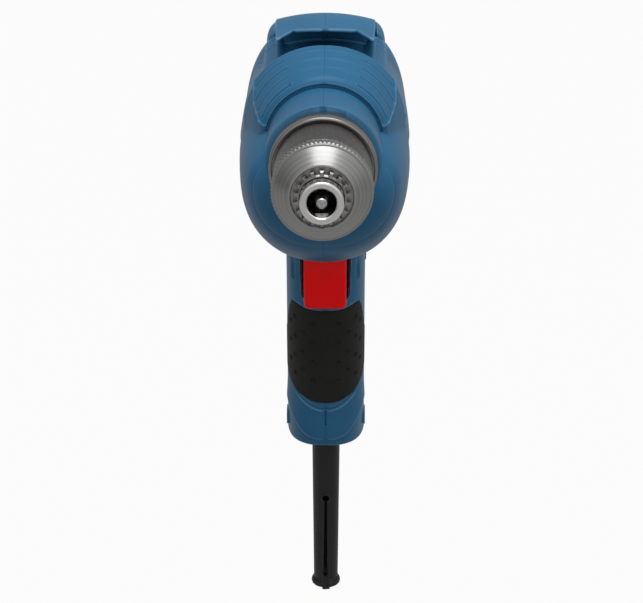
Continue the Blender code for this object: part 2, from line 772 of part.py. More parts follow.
spindle_axis = axis_empty("spindle_axis", (0, 0, 0))
motor_axis = axis_empty("motor_axis", (0, 0, -AXIS_DROP))
trigger_guide = axis_empty("trigger_guide", (0, TRIGGER_FRONT, -STEM_DROP))
slider_guide = axis_empty("slider_guide", (0, SLIDER_FRONT + SLIDER_DEPTH / 2, -SLIDER_BOTTOM_DROP))
button_guide = axis_empty("button_guide", (BUTTON_INNER, BUTTON_Y, -BUTTON_DROP))

# Housing outside: round collar, hood growing squarer to its rear, body and handle, all lofted
hood_end = COLLAR_LENGTH + HOOD_SHOULDER + RIDGE_PITCH * HOOD_RIDGES
hood_radius = COLLAR_RADIUS + HOOD_SHOULDER + RIDGE_RISE * HOOD_RIDGES
nose = [(0, COLLAR_RADIUS - COLLAR_CHAMFER), (COLLAR_CHAMFER, COLLAR_RADIUS)]
nose += [(COLLAR_LENGTH, COLLAR_RADIUS), (COLLAR_LENGTH + RIDGE_STEP, COLLAR_RADIUS - RIDGE_STEP)]
nose += [(COLLAR_LENGTH + 2 * RIDGE_STEP, COLLAR_RADIUS)]
nose += hood_profile()
nose += [(hood_end + HOOD_REAR_FALL, hood_radius - HOOD_REAR_FALL)]
nose_rings = []
for along, radius in nose:
    grown = min(max((along - COLLAR_LENGTH) / (hood_end - COLLAR_LENGTH), 0), 1)
    outline = superellipse(TURRET_SIDES, 2 + (HOOD_POWER - 2) * grown)
    nose_rings.append([(radius * x, along, radius * z) for x, z in outline])
shell = loft("shell", nose_rings)
join(shell, loft("body", [body_ring(station) for station in BODY_STATIONS]))
join(shell, handle_form("handle"))

# Belt hook: an arched plate that springs from the heel over the valley behind the hood
hook_side = [(HOOK_TIP, HOOK_TIP_HEIGHT), (HOOK_CREST, HOOK_CREST_HEIGHT)]
hook_side += [(HOOK_ROOT, HOOK_CREST_HEIGHT - HOOK_ROOT_FALL), (HOOK_HEEL, HOOK_HEEL_HEIGHT)]
hook_side += [(HOOK_HEEL + HOOK_FILLET, BODY_CROWN - HOOK_SINK)]
hook_side += [(HOOK_ROOT + HOOK_FILLET, BODY_CROWN - HOOK_SINK)]
hook_side += [(HOOK_ROOT + HOOK_FILLET, BODY_CROWN - HOOK_FILLET)]
hook_side += [(HOOK_ROOT, HOOK_CREST_HEIGHT - HOOK_ROOT_FALL - HOOK_THICKNESS)]
hook_side += [(HOOK_CREST, HOOK_CREST_HEIGHT - HOOK_THICKNESS), (HOOK_TIP, HOOK_TIP_HEIGHT - HOOK_EDGE)]
hook_rows = []
for i in range(HOOK_ROWS):
    x = HOOK_HALF_WIDTH * (2 * i / (HOOK_ROWS - 1) - 1)
    sag = x * x / (2 * HOOK_ARCH_RADIUS)
    hook_rows.append([(x, y, z - sag) for y, z in hook_side])
hook = loft("hook", hook_rows)
notch_mouth = HOOK_HALF_WIDTH - HOOK_FLARE
notch = [(-notch_mouth, HOOK_TIP - CUT_MARGIN), (notch_mouth, HOOK_TIP - CUT_MARGIN)]
notch += [(HOOK_NOTCH_HALF_WIDTH, HOOK_NOTCH), (-HOOK_NOTCH_HALF_WIDTH, HOOK_NOTCH)]
cut(hook, prism("notch", notch, 0, HOOK_CREST_HEIGHT + CUT_MARGIN, Matrix.Identity(4)))
join(shell, hook)
saddle_rows = []
for along, wide, high in SADDLE_STATIONS:
    arch = superellipse(2 * SADDLE_SIDES, SADDLE_POWER)[:SADDLE_SIDES + 1]
    saddle_rows.append([(SADDLE_HALF_WIDTH * wide * x, SADDLE_FRONT + SADDLE_LENGTH * along,
                         SADDLE_BASE + SADDLE_HEIGHT * high * z) for x, z in arch])
join(shell, loft("saddle", saddle_rows))

# Housing inside: hollow body, gear chamber and handle, less the ribs and screw posts
hollow = loft("hollow", [body_ring(station, WALL, 0, HOLLOW_SIDES) for station in BODY_STATIONS[2:-1]]
              + [body_ring(BODY_STATIONS[-1], WALL, -WALL, HOLLOW_SIDES)])
chamber = [(COLLAR_LENGTH + HOOD_SHOULDER, 0)]
chamber += hood_profile(WALL)[:-1]
chamber += [(hood_end - WALL, hood_radius - RIDGE_RISE - WALL), (hood_end - WALL, 0)]
join(hollow, turned("chamber", chamber, SPINDLE, HOLLOW_SIDES))
join(hollow, handle_form("handle_hollow", HANDLE_WALL, BASE_FLOOR))

span = BODY_HALF_WIDTH + CUT_MARGIN
keel = -BODY_KEEL
sky = BODY_CROWN + CUT_MARGIN
bulkheads = [
    (PLATE_Y - BULKHEAD_WALL, PLATE_END + BULKHEAD_WALL),
    (STATOR_Y + RIB_THICKNESS, STATOR_Y + 2 * RIB_THICKNESS),
    (STATOR_END - 2 * RIB_THICKNESS, STATOR_END - RIB_THICKNESS),
    (BRUSH_Y - HOLDER_HALF_WIDTH - SEAT_GAP - RIB_THICKNESS, BRUSH_Y - HOLDER_HALF_WIDTH - SEAT_GAP),
    (REAR_BEARING_Y - RIB_THICKNESS, REAR_BEARING_END + SEAT_GAP + RIB_THICKNESS / 2),
]
for front, back in bulkheads:
    cut(hollow, block("bulkhead", (-span, front, keel), (span, back, sky)))
shelves = [
    (SWITCH_TOP_DROP - SEAT_GAP - SHELF_THICKNESS, SWITCH_TOP_DROP - SEAT_GAP),
    (SHELF_DROP, SHELF_DROP + SHELF_THICKNESS),
    (LOWER_SHELF_DROP, LOWER_SHELF_DROP + SHELF_THICKNESS),
    (GLAND_SHELF_DROP, GLAND_SHELF_DROP + SLEEVE_FLANGE),
]
for top, bottom in shelves:
    cut(hollow, block("shelf", (-span, SWITCH_FRONT, -bottom), (span, BODY_LENGTH, -top)))
for y, z in SCREW_PLACES:
    cut(hollow, rod("post", BOSS_RADIUS, -span, span, frame((1, 0, 0), (0, y, z)), 8))
cut(shell, hollow)

# Seats for the spindle bearing, gear plate, motor, brush gear and rear bearing
seat_profile = [(-CUT_MARGIN, 0), (-CUT_MARGIN, SPINDLE_FLANGE_RADIUS + RUNNING_GAP)]
seat_profile += [(NOSE_WALL, SPINDLE_FLANGE_RADIUS + RUNNING_GAP)]
seat_profile += [(NOSE_WALL, SPINDLE_BEARING_RADIUS + SEAT_GAP)]
seat_profile += [(BEARING_END + SEAT_GAP, SPINDLE_BEARING_RADIUS + SEAT_GAP)]
seat_profile += [(BEARING_END + SEAT_GAP, SPINDLE_BEARING_RADIUS - SPINDLE_BEARING_RING)]
seat_profile += [(LIP_END, SPINDLE_BEARING_RADIUS - SPINDLE_BEARING_RING)]
seat_profile += [(LIP_END, COLLAR_RADIUS - 2 * WALL)]
seat_profile += [(COLLAR_LENGTH + HOOD_SHOULDER + CUT_MARGIN, COLLAR_RADIUS - 2 * WALL)]
seat_profile += [(COLLAR_LENGTH + HOOD_SHOULDER + CUT_MARGIN, 0)]
cut(shell, turned("nose_seat", seat_profile, SPINDLE))
window = two_circle_outline(PLATE_UPPER_RADIUS - PLATE_GROOVE_DEPTH, PLATE_LOWER_RADIUS - PLATE_GROOVE_DEPTH,
                            AXIS_DROP)
cut(shell, prism("plate_window", window, PLATE_Y - BULKHEAD_WALL - CUT_MARGIN,
                 PLATE_END + BULKHEAD_WALL + CUT_MARGIN, SPINDLE))
groove = two_circle_outline(PLATE_UPPER_RADIUS + SEAT_GAP, PLATE_LOWER_RADIUS + SEAT_GAP, AXIS_DROP)
cut(shell, prism("plate_groove", groove, PLATE_Y - SEAT_GAP, PLATE_END + SEAT_GAP, SPINDLE))
cut(shell, rod("stator_bore", STATOR_RADIUS + SEAT_GAP, STATOR_Y, STATOR_END, MOTOR, STATOR_SIDES))
cut(shell, rod("brush_window", WINDING_RADIUS + CUT_MARGIN, STATOR_END,
               REAR_BEARING_Y - RIB_THICKNESS - CUT_MARGIN, MOTOR))
cushion_radius = REAR_BEARING_RADIUS + SEAT_GAP + CUSHION_WALL
tail_seat = [(REAR_BEARING_Y - RIB_THICKNESS - CUT_MARGIN, 0)]
tail_seat += [(REAR_BEARING_Y - RIB_THICKNESS - CUT_MARGIN, REAR_BEARING_RADIUS - BEARING_RING)]
tail_seat += [(REAR_BEARING_Y - SEAT_GAP, REAR_BEARING_RADIUS - BEARING_RING)]
tail_seat += [(REAR_BEARING_Y - SEAT_GAP, cushion_radius + SEAT_GAP)]
tail_seat += [(REAR_BEARING_END + SEAT_GAP, cushion_radius + SEAT_GAP)]
tail_seat += [(REAR_BEARING_END + SEAT_GAP, REAR_BEARING_RADIUS - BEARING_RING)]
tail_seat += [(REAR_BEARING_END + RIB_THICKNESS + CUT_MARGIN / 2, REAR_BEARING_RADIUS - BEARING_RING)]
tail_seat += [(REAR_BEARING_END + RIB_THICKNESS + CUT_MARGIN / 2, 0)]
cut(shell, turned("tail_seat", tail_seat, MOTOR))

# Openings for the trigger, slider, lock button, cord gland and cooling air
slot_half = TRIGGER_HALF_WIDTH + RUNNING_GAP
cut(shell, block("trigger_slot", (-slot_half, TRIGGER_FRONT, -TRIGGER_BOTTOM_DROP - RUNNING_GAP),
                 (slot_half, SWITCH_FRONT - RUNNING_GAP, -TRIGGER_TOP_DROP + RUNNING_GAP)))
cut(shell, block("slider_slot", (-span, SLIDER_FRONT - RUNNING_GAP, -SLIDER_BOTTOM_DROP - RUNNING_GAP / 2),
                 (span, SLIDER_FRONT + SLIDER_DEPTH + RUNNING_GAP, -SLIDER_TOP_DROP + RUNNING_GAP / 2)))
cut(shell, rod("button_hole", BUTTON_RADIUS + SEAT_GAP, SWITCH_HALF_WIDTH, HANDLE_WIDTH,
               frame((1, 0, 0), (0, BUTTON_Y, -BUTTON_DROP)), 14))
cut(shell, rod("button_seat", BUTTON_RADIUS + BUTTON_FLANGE + SEAT_GAP, BUTTON_INNER,
               HANDLE_WIDTH / 2 - HANDLE_WALL, frame((1, 0, 0), (0, BUTTON_Y, -BUTTON_DROP)), 14))
cut(shell, rod("gland_hole", SLEEVE_TOP_RADIUS + SEAT_GAP, -BASE_DROP - CUT_MARGIN, -FLOOR_DROP + CUT_MARGIN,
               frame((0, 0, 1), (0, SLEEVE_Y, 0)), 20))
cut(shell, rod("cord_hole", SLEEVE_TOP_RADIUS - CUT_MARGIN / 2, -FLOOR_DROP + SLEEVE_FLANGE,
               -GLAND_SHELF_DROP + CUT_MARGIN, frame((0, 0, 1), (0, SLEEVE_Y, 0)), 20))
vent_places = [(FRONT_VENT_START + VENT_PITCH * i, FRONT_VENT_TOP) for i in range(FRONT_VENTS)]
vent_places += [(REAR_VENT_START + VENT_PITCH * i, REAR_VENT_TOP) for i in range(REAR_VENTS)]
for side in (-1, 1):
    for y, top in vent_places:
        near = side * (BODY_HALF_WIDTH - VENT_REACH)
        far = side * span
        cut(shell, block("vent", (min(near, far), y, top - VENT_HEIGHT), (max(near, far), y + VENT_WIDTH, top)))

# Recess for the grip pad, and the pad itself
def pad_outline(grow):
    """Side outline of the pad: level top, raked lower edge, drawn in at its upper rear."""
    nose_y = HANDLE_FRONT - PAD_LEAD
    upper = PAD_TOP_DROP - grow
    side = PAD_SIDE_DROP + grow * math.hypot(1, PAD_RAKE)
    rear = HANDLE_FRONT + PAD_WRAP + grow
    return [(nose_y, -upper), (HANDLE_FRONT + PAD_UPPER_WRAP + grow, -upper - PAD_TOP_FALL),
            (rear, -upper - PAD_SHOULDER_DROP), (rear + PAD_REAR_LEAN, -side),
            (nose_y, -side - PAD_RAKE * (rear + PAD_REAR_LEAN - nose_y))]


SIDEWAYS = Matrix(((0, 0, 1, 0), (1, 0, 0, 0), (0, 1, 0, 0), (0, 0, 0, 1)))
zone = prism("pad_zone", pad_outline(SEAT_GAP), -HANDLE_WIDTH, HANDLE_WIDTH, SIDEWAYS)
cut(zone, handle_form("pad_core", PAD_DEPTH + SEAT_GAP))
cut(shell, zone)
grip_pad = prism("grip_pad", pad_outline(0), -HANDLE_WIDTH, HANDLE_WIDTH, SIDEWAYS)
keep(grip_pad, handle_form("pad_skin", -PAD_PROUD))
cut(grip_pad, handle_form("pad_core", PAD_DEPTH))
finish(grip_pad, BLACK_RUBBER, 0.75)

# Screw holes, then the split into two halves
for y, z in SCREW_PLACES:
    place = frame((1, 0, 0), (0, y, z))
    hole = [(-span, 0), (-span, SCREW_HEAD_RADIUS + SEAT_GAP), (-SCREW_SEAT, SCREW_HEAD_RADIUS + SEAT_GAP)]
    hole += [(-SCREW_SEAT, SCREW_RADIUS + SEAT_GAP)]
    hole += [(SCREW_LENGTH - SCREW_SEAT + RUNNING_GAP, SCREW_RADIUS + SEAT_GAP)]
    hole += [(SCREW_LENGTH - SCREW_SEAT + RUNNING_GAP, 0)]
    cut(shell, turned("screw_hole", hole, place, 8))

reach = BODY_LENGTH + CUT_MARGIN
housing_right = bpy.data.objects.new("housing_right", shell.data.copy())
bpy.context.collection.objects.link(housing_right)
housing_left = bpy.data.objects.new("housing_left", shell.data)
bpy.context.collection.objects.link(housing_left)
bpy.data.objects.remove(shell)
half = SPLIT_GAP / 2
right_side = block("right_side", (-half, -reach, -2 * reach), (2 * span, reach, reach))
combine(housing_left, right_side, "DIFFERENCE", ("MANIFOLD",))
left_side = block("left_side", (-2 * span, -reach, -2 * reach), (half, reach, reach))
combine(housing_right, left_side, "DIFFERENCE", ("MANIFOLD",))
finish(housing_left, BLUE, 0.42)
finish(housing_right, BLUE, 0.42)

for number, (y, z) in enumerate(SCREW_PLACES, 1):
    place = frame((1, 0, 0), (0, y, z))
    head = -SCREW_SEAT - SEAT_GAP
    form = [(head - SCREW_HEAD_HEIGHT, 0), (head - SCREW_HEAD_HEIGHT, SCREW_HEAD_RADIUS - SCREW_HEAD_CHAMFER)]
    form += [(head - SCREW_HEAD_HEIGHT + SCREW_HEAD_CHAMFER, SCREW_HEAD_RADIUS), (head, SCREW_HEAD_RADIUS)]
    form += [(head, SCREW_RADIUS)]
    form += [(head + SCREW_LENGTH - SCREW_RADIUS, SCREW_RADIUS), (head + SCREW_LENGTH, 0)]
    finish(turned("housing_screw_%d" % number, form, place, 6), ZINC, 0.35, 1.0)

# Spindle group
form = [(SPINDLE_FRONT, CHUCK_SCREW_RADIUS + SEAT_GAP), (SPINDLE_FRONT, SPINDLE_THREAD_RADIUS)]
form += [(CHUCK_BACK + SEAT_GAP, SPINDLE_THREAD_RADIUS), (CHUCK_BACK + SEAT_GAP, SPINDLE_FLANGE_RADIUS)]
form += [(BEARING_Y - SEAT_GAP, SPINDLE_FLANGE_RADIUS), (BEARING_Y - SEAT_GAP, SPINDLE_RADIUS)]
form += [(CIRCLIP_Y + CIRCLIP_WIDTH + 2 * SEAT_GAP, SPINDLE_RADIUS)]
form += [(CIRCLIP_Y + CIRCLIP_WIDTH + 2 * SEAT_GAP, SPINDLE_TAIL_RADIUS)]
form += [(CIRCLIP_Y + SPINDLE_TAIL_LENGTH, SPINDLE_TAIL_RADIUS), (CIRCLIP_Y + SPINDLE_TAIL_LENGTH, 0)]
drill_end = SPINDLE_FRONT + CHUCK_SCREW_LENGTH + SEAT_GAP
form += [(drill_end + CHUCK_SCREW_RADIUS, 0), (drill_end, CHUCK_SCREW_RADIUS + SEAT_GAP)]
finish(turned("spindle", form, SPINDLE), STEEL, 0.3, 1.0, spindle_axis)

inner = SPINDLE_RADIUS + SEAT_GAP
finish(ring("spindle_bearing_inner", inner, inner + SPINDLE_BEARING_RING - SEAT_GAP, BEARING_Y,
            BEARING_END, SPINDLE), STEEL, 0.25, 1.0, spindle_axis)
finish(ring("spindle_bearing_outer", inner + SPINDLE_BEARING_RING, SPINDLE_BEARING_RADIUS, BEARING_Y,
            BEARING_END, SPINDLE), STEEL, 0.25, 1.0)

wheel = toothed(GEAR_TEETH, GEAR_MODULE * (GEAR_TEETH / 2 - GEAR_DEDENDUM), GEAR_RADIUS,
                GEAR_ROOT_HALF, GEAR_TIP_HALF, -math.pi / 2 + math.pi / GEAR_TEETH)
spindle_gear = prism("spindle_gear", wheel, GEAR_Y, GEAR_END, SPINDLE)
cut(spindle_gear, rod("bore", inner, GEAR_Y - CUT_MARGIN, GEAR_END + CUT_MARGIN, SPINDLE))
finish(spindle_gear, DARK_STEEL, 0.35, 1.0, spindle_axis)

circlip = ring("gear_circlip", inner, inner + CIRCLIP_HEIGHT, CIRCLIP_Y, CIRCLIP_Y + CIRCLIP_WIDTH, SPINDLE)
cut(circlip, block("gap", (-CIRCLIP_HEIGHT / 2, CIRCLIP_Y - CUT_MARGIN, 0),
                   (CIRCLIP_HEIGHT / 2, CIRCLIP_Y + CUT_MARGIN, SPINDLE_FLANGE_RADIUS + CUT_MARGIN)))
finish(circlip, DARK_STEEL, 0.4, 1.0, spindle_axis)

bush_inner = SPINDLE_TAIL_RADIUS + SEAT_GAP
finish(ring("spindle_rear_bush", bush_inner, bush_inner + BUSH_WALL, PLATE_Y, PLATE_Y + BUSH_LENGTH,
            SPINDLE, 16), BRASS, 0.4, 1.0)

outline = two_circle_outline(PLATE_UPPER_RADIUS, PLATE_LOWER_RADIUS, AXIS_DROP)
gear_plate = prism("gear_plate", outline, PLATE_Y, PLATE_END, SPINDLE)
boss = FRONT_BEARING_RADIUS + SEAT_GAP + PLATE_BOSS_WALL
join(gear_plate, rod("boss", boss, PLATE_Y + WELD, FRONT_BEARING_END + WELD, MOTOR))
neck = bush_inner + BUSH_WALL + SEAT_GAP + PLATE_BOSS_WALL
join(gear_plate, rod("neck", neck, PLATE_Y + WELD, PLATE_Y + BUSH_LENGTH, SPINDLE, 16))
cut(gear_plate, rod("bush_bore", neck - PLATE_BOSS_WALL, PLATE_Y - CUT_MARGIN,
                    FRONT_BEARING_END + 2 * CUT_MARGIN, SPINDLE, 16))
form = [(PLATE_Y - CUT_MARGIN, 0), (PLATE_Y - CUT_MARGIN, FRONT_BEARING_RADIUS - BEARING_RING)]
form += [(PLATE_Y + BULKHEAD_WALL - SEAT_GAP, FRONT_BEARING_RADIUS - BEARING_RING)]
form += [(PLATE_Y + BULKHEAD_WALL - SEAT_GAP, FRONT_BEARING_RADIUS + SEAT_GAP)]
form += [(FRONT_BEARING_END + CUT_MARGIN, FRONT_BEARING_RADIUS + SEAT_GAP)]
form += [(FRONT_BEARING_END + CUT_MARGIN, 0)]
cut(gear_plate, turned("bearing_seat", form, MOTOR))
finish(gear_plate, ZINC, 0.5, 1.0)

# Armature group
pinion = toothed(PINION_TEETH, GEAR_MODULE * (PINION_TEETH / 2 - PINION_DEDENDUM),
                 GEAR_MODULE * (PINION_TEETH / 2 + PINION_ADDENDUM), PINION_ROOT_HALF, PINION_TIP_HALF,
                 math.pi / 2)
pinion_y = GEAR_Y - (PINION_WIDTH - GEAR_WIDTH) / 2
armature_shaft = prism("armature_shaft", pinion, pinion_y, pinion_y + PINION_WIDTH, MOTOR)
bearing_y = PLATE_Y + BULKHEAD_WALL
form = [(pinion_y + PINION_WIDTH - WELD, 0), (pinion_y + PINION_WIDTH - WELD, FRONT_JOURNAL_RADIUS)]
form += [(FRONT_BEARING_END + SEAT_GAP, FRONT_JOURNAL_RADIUS), (FRONT_BEARING_END + SEAT_GAP, SHAFT_RADIUS)]
form += [(COMMUTATOR_END + WELD, SHAFT_RADIUS), (COMMUTATOR_END + WELD, REAR_JOURNAL_RADIUS)]
form += [(REAR_BEARING_END + SHAFT_OVERRUN, REAR_JOURNAL_RADIUS), (REAR_BEARING_END + SHAFT_OVERRUN, 0)]
join(armature_shaft, turned("shaft", form, MOTOR, 16))
finish(armature_shaft, STEEL, 0.3, 1.0, motor_axis)


def ball_bearing(name, journal, outer, start, end, turning):
    """Inner ring, and outer ring with its shields, of a closed ball bearing."""
    bore = journal + SEAT_GAP
    finish(ring(name + "_inner", bore, bore + BEARING_RING - SEAT_GAP, start, end, MOTOR, 12),
           STEEL, 0.25, 1.0, turning)
    finish(ring(name + "_outer", bore + BEARING_RING, outer, start, end, MOTOR, 12), STEEL, 0.25, 1.0)


ball_bearing("armature_front_bearing", FRONT_JOURNAL_RADIUS, FRONT_BEARING_RADIUS, bearing_y,
             FRONT_BEARING_END, motor_axis)
ball_bearing("armature_rear_bearing", REAR_JOURNAL_RADIUS, REAR_BEARING_RADIUS, REAR_BEARING_Y,
             REAR_BEARING_END, motor_axis)
finish(ring("bearing_cushion", REAR_BEARING_RADIUS + SEAT_GAP, cushion_radius, REAR_BEARING_Y,
            REAR_BEARING_END, MOTOR, 16), BLACK_RUBBER, 0.8)

shaft_seat = SHAFT_RADIUS + SEAT_GAP
fan = ring("fan", shaft_seat, FAN_RADIUS, FAN_Y, FAN_Y + FAN_PLATE, MOTOR)
join(fan, ring("hub", shaft_seat, FAN_HUB_RADIUS, FAN_Y + FAN_PLATE / 2, FAN_END, MOTOR))
for i in range(FAN_BLADES):
    blade = block("blade", (-FAN_BLADE_THICKNESS / 2, FAN_BLADE_ROOT, FAN_Y + FAN_PLATE / 3),
                  (FAN_BLADE_THICKNESS / 2, FAN_RADIUS - FAN_BLADE_INSET, FAN_END))
    blade.data.transform(MOTOR @ Matrix.Rotation(2 * math.pi * (i + 0.5) / FAN_BLADES, 4, "Z"))
    join(fan, blade)
finish(fan, DARK_PLASTIC, 0.5, 0.0, motor_axis)

slot_half_angle = CORE_SLOT_WIDTH / 2 / CORE_RADIUS
laminate = []
for i in range(CORE_SLOTS):
    middle = 2 * math.pi * (i + 0.5) / CORE_SLOTS
    step = 2 * math.pi / CORE_SLOTS
    floor = CORE_RADIUS - CORE_SLOT_DEPTH
    floor_half = CORE_SLOT_WIDTH / 2 / floor
    for radius, turn in ((CORE_RADIUS, middle - slot_half_angle), (floor, middle - floor_half),
                         (floor, middle + floor_half), (CORE_RADIUS, middle + slot_half_angle),
                         (CORE_RADIUS, middle + step / 2)):
        laminate.append((radius * math.cos(turn), radius * math.sin(turn)))
core = prism("armature_core", laminate, CORE_Y, CORE_END, MOTOR)
cut(core, rod("bore", shaft_seat, CORE_Y - CUT_MARGIN, CORE_END + CUT_MARGIN, MOTOR, 16))
finish(core, DARK_STEEL, 0.5, 1.0, motor_axis)

for name, near, far in (("armature_winding_front", CORE_Y - SEAT_GAP, CORE_Y - SEAT_GAP - WINDING_LENGTH),
                        ("armature_winding_rear", CORE_END + SEAT_GAP, CORE_END + SEAT_GAP + WINDING_LENGTH)):
    form = [(near, shaft_seat), (near, WINDING_RADIUS - WINDING_ROUND), ((near + far) / 2, WINDING_RADIUS)]
    form += [(far, WINDING_RADIUS - WINDING_TAPER), (far, shaft_seat)]
    finish(turned(name, form, MOTOR, 14), COPPER, 0.45, 0.6, motor_axis)

form = [(COMMUTATOR_Y, shaft_seat), (COMMUTATOR_Y, COMMUTATOR_RADIUS + RISER_HEIGHT)]
form += [(COMMUTATOR_Y + RISER_LENGTH, COMMUTATOR_RADIUS + RISER_HEIGHT)]
form += [(COMMUTATOR_Y + RISER_LENGTH, COMMUTATOR_RADIUS), (COMMUTATOR_END, COMMUTATOR_RADIUS)]
form += [(COMMUTATOR_END, shaft_seat)]
finish(turned("commutator", form, MOTOR, 16), COPPER, 0.3, 1.0, motor_axis)

# Stator: ring yoke with two pole shoes, one field coil in the windows round each pole
bore = CORE_RADIUS + STATOR_AIR_GAP
window_radius = STATOR_RADIUS - STATOR_YOKE
stator = ring("stator_core", bore, STATOR_RADIUS, STATOR_Y, STATOR_END, MOTOR, STATOR_SIDES)
for centre in (math.pi / 2, -math.pi / 2):
    sweep = math.pi - 2 * POLE_HALF_ANGLE
    sector = [(window_radius * math.cos(a), window_radius * math.sin(a)) for a in
              (centre - sweep / 2 + sweep * i / 6 for i in range(7))]
    inside = bore - CUT_MARGIN
    sector += [(inside * math.cos(a), inside * math.sin(a)) for a in
               (centre + sweep / 2 - sweep * i / 6 for i in range(7))]
    cut(stator, prism("window", sector, STATOR_Y - CUT_MARGIN, STATOR_END + CUT_MARGIN, MOTOR))
finish(stator, DARK_STEEL, 0.5, 1.0)

coil_radius = (bore + window_radius) / 2
for name, centre in (("field_coil_left", 0.0), ("field_coil_right", math.pi)):
    route = []
    for end, sense in ((STATOR_Y - COIL_OVERHANG, 1), (STATOR_END + COIL_OVERHANG, -1)):
        for i in range(COIL_STEPS + 1):
            turn = centre + sense * COIL_HALF_ANGLE * (2 * i / COIL_STEPS - 1)
            route.append(MOTOR @ Vector((coil_radius * math.cos(turn), coil_radius * math.sin(turn), end)))
    finish(tube(name, route, COIL_WIRE_RADIUS, True, 3), COPPER, 0.5, 0.4)

# Brush gear, one set on each side of the commutator
for name, side in (("left", -1), ("right", 1)):
    place = frame((side, 0, 0), (0, BRUSH_Y, -AXIS_DROP))
    tip = COMMUTATOR_RADIUS + BRUSH_GAP
    tail = tip + BRUSH_LENGTH
    end = tail + SEAT_GAP + BRUSH_SPRING_LENGTH + SEAT_GAP
    finish(prism("brush_" + name, rectangle(BRUSH_WIDTH / 2, BRUSH_HEIGHT / 2), tip, tail, place),
           CARBON, 0.6)
    holder = prism("brush_holder_" + name, rectangle(HOLDER_HALF_WIDTH, HOLDER_HALF_HEIGHT),
                   tip + HOLDER_MOUTH, end + HOLDER_WALL, place)
    cut(holder, prism("well", rectangle(BRUSH_WIDTH / 2 + SEAT_GAP, BRUSH_HEIGHT / 2 + SEAT_GAP),
                      tip - CUT_MARGIN, end, place))
    finish(holder, BRASS, 0.35, 1.0)
    coil = spring("brush_spring_" + name, BRUSH_SPRING_RADIUS, BRUSH_SPRING_WIRE, BRUSH_SPRING_LENGTH,
                  BRUSH_SPRING_TURNS, place @ Matrix.Translation((0, 0, tail + SEAT_GAP)))
    finish(coil, STEEL, 0.35, 1.0)

# Trigger: side profile crossed with a front outline, stem and spring pocket at the back
tall = TRIGGER_BOTTOM_DROP - TRIGGER_TOP_DROP
side = []
for i in range(9):
    share = i / 8
    hollow_y = TRIGGER_HOLLOW * (2 * share - 1) ** 2
    side.append((TRIGGER_FRONT + hollow_y, -TRIGGER_TOP_DROP - tall * share))
side += [(TRIGGER_BACK, -TRIGGER_BOTTOM_DROP), (TRIGGER_BACK, -TRIGGER_REAR_TOP_DROP)]
side += [(TRIGGER_FRONT + TRIGGER_PADDLE, -TRIGGER_REAR_TOP_DROP)]
side += [(TRIGGER_FRONT + TRIGGER_PADDLE, -TRIGGER_TOP_DROP)]
trigger = prism("trigger", side, -TRIGGER_HALF_WIDTH - CUT_MARGIN, TRIGGER_HALF_WIDTH + CUT_MARGIN, SIDEWAYS)
front = [(TRIGGER_HALF_WIDTH, -TRIGGER_TOP_DROP + CUT_MARGIN)]
front += [(-TRIGGER_HALF_WIDTH, -TRIGGER_TOP_DROP + CUT_MARGIN)]
corner_drop = -TRIGGER_BOTTOM_DROP + TRIGGER_CORNER
corner = (TRIGGER_HALF_WIDTH - TRIGGER_CORNER, corner_drop)
front += [(-x, z) for x, z in circle(6, TRIGGER_CORNER, corner, 0, -math.pi / 2)]
front += [(-TRIGGER_HALF_WIDTH + TRIGGER_CORNER, -TRIGGER_BOTTOM_DROP)]
front += circle(6, TRIGGER_CORNER, corner, -math.pi / 2, math.pi / 2)
front += [(TRIGGER_HALF_WIDTH, corner_drop)]
keep(trigger, prism("front", front, TRIGGER_FRONT - CUT_MARGIN, TRIGGER_BACK + CUT_MARGIN, SPINDLE))
stem_axis = frame((0, 1, 0), (0, 0, -STEM_DROP))
pocket = TRIGGER_SPRING_RADIUS + TRIGGER_SPRING_WIRE + RUNNING_GAP
pocket_floor = TRIGGER_BACK - TRIGGER_SPRING_POCKET
cut(trigger, rod("pocket", pocket, pocket_floor, TRIGGER_BACK + CUT_MARGIN, stem_axis, 14))
join(trigger, rod("stem", TRIGGER_STEM_RADIUS, pocket_floor - WELD,
                  TRIGGER_BACK + TRIGGER_STEM_LENGTH, stem_axis, 10))
finish(trigger, RED, 0.35, 0.0, trigger_guide)

spring_start = pocket_floor + SEAT_GAP
finish(spring("trigger_spring", TRIGGER_SPRING_RADIUS, TRIGGER_SPRING_WIRE,
              SWITCH_FRONT - SEAT_GAP - spring_start, TRIGGER_SPRING_TURNS,
              frame((0, 1, 0), (0, spring_start, -STEM_DROP))), STEEL, 0.3, 1.0)

# Switch body with a bore for the trigger stem and a pocket for the lock button
switch = block("switch_body", (-SWITCH_HALF_WIDTH, SWITCH_FRONT, -SWITCH_BOTTOM_DROP),
               (SWITCH_HALF_WIDTH, SWITCH_BACK, -SWITCH_TOP_DROP))
keep(switch, handle_form("switch_limit", HANDLE_WALL + SEAT_GAP))
cut(switch, rod("stem_bore", TRIGGER_STEM_RADIUS + SEAT_GAP, SWITCH_FRONT - CUT_MARGIN,
                TRIGGER_BACK + TRIGGER_STEM_LENGTH + TRIGGER_TRAVEL + RUNNING_GAP, stem_axis, 10))
button_axis = frame((1, 0, 0), (0, BUTTON_Y, -BUTTON_DROP))
flange_radius = BUTTON_RADIUS + BUTTON_FLANGE
cut(switch, rod("button_pocket", flange_radius + SEAT_GAP, BUTTON_INNER, SWITCH_HALF_WIDTH + CUT_MARGIN,
                button_axis, 14))
finish(switch, DARK_PLASTIC, 0.5)

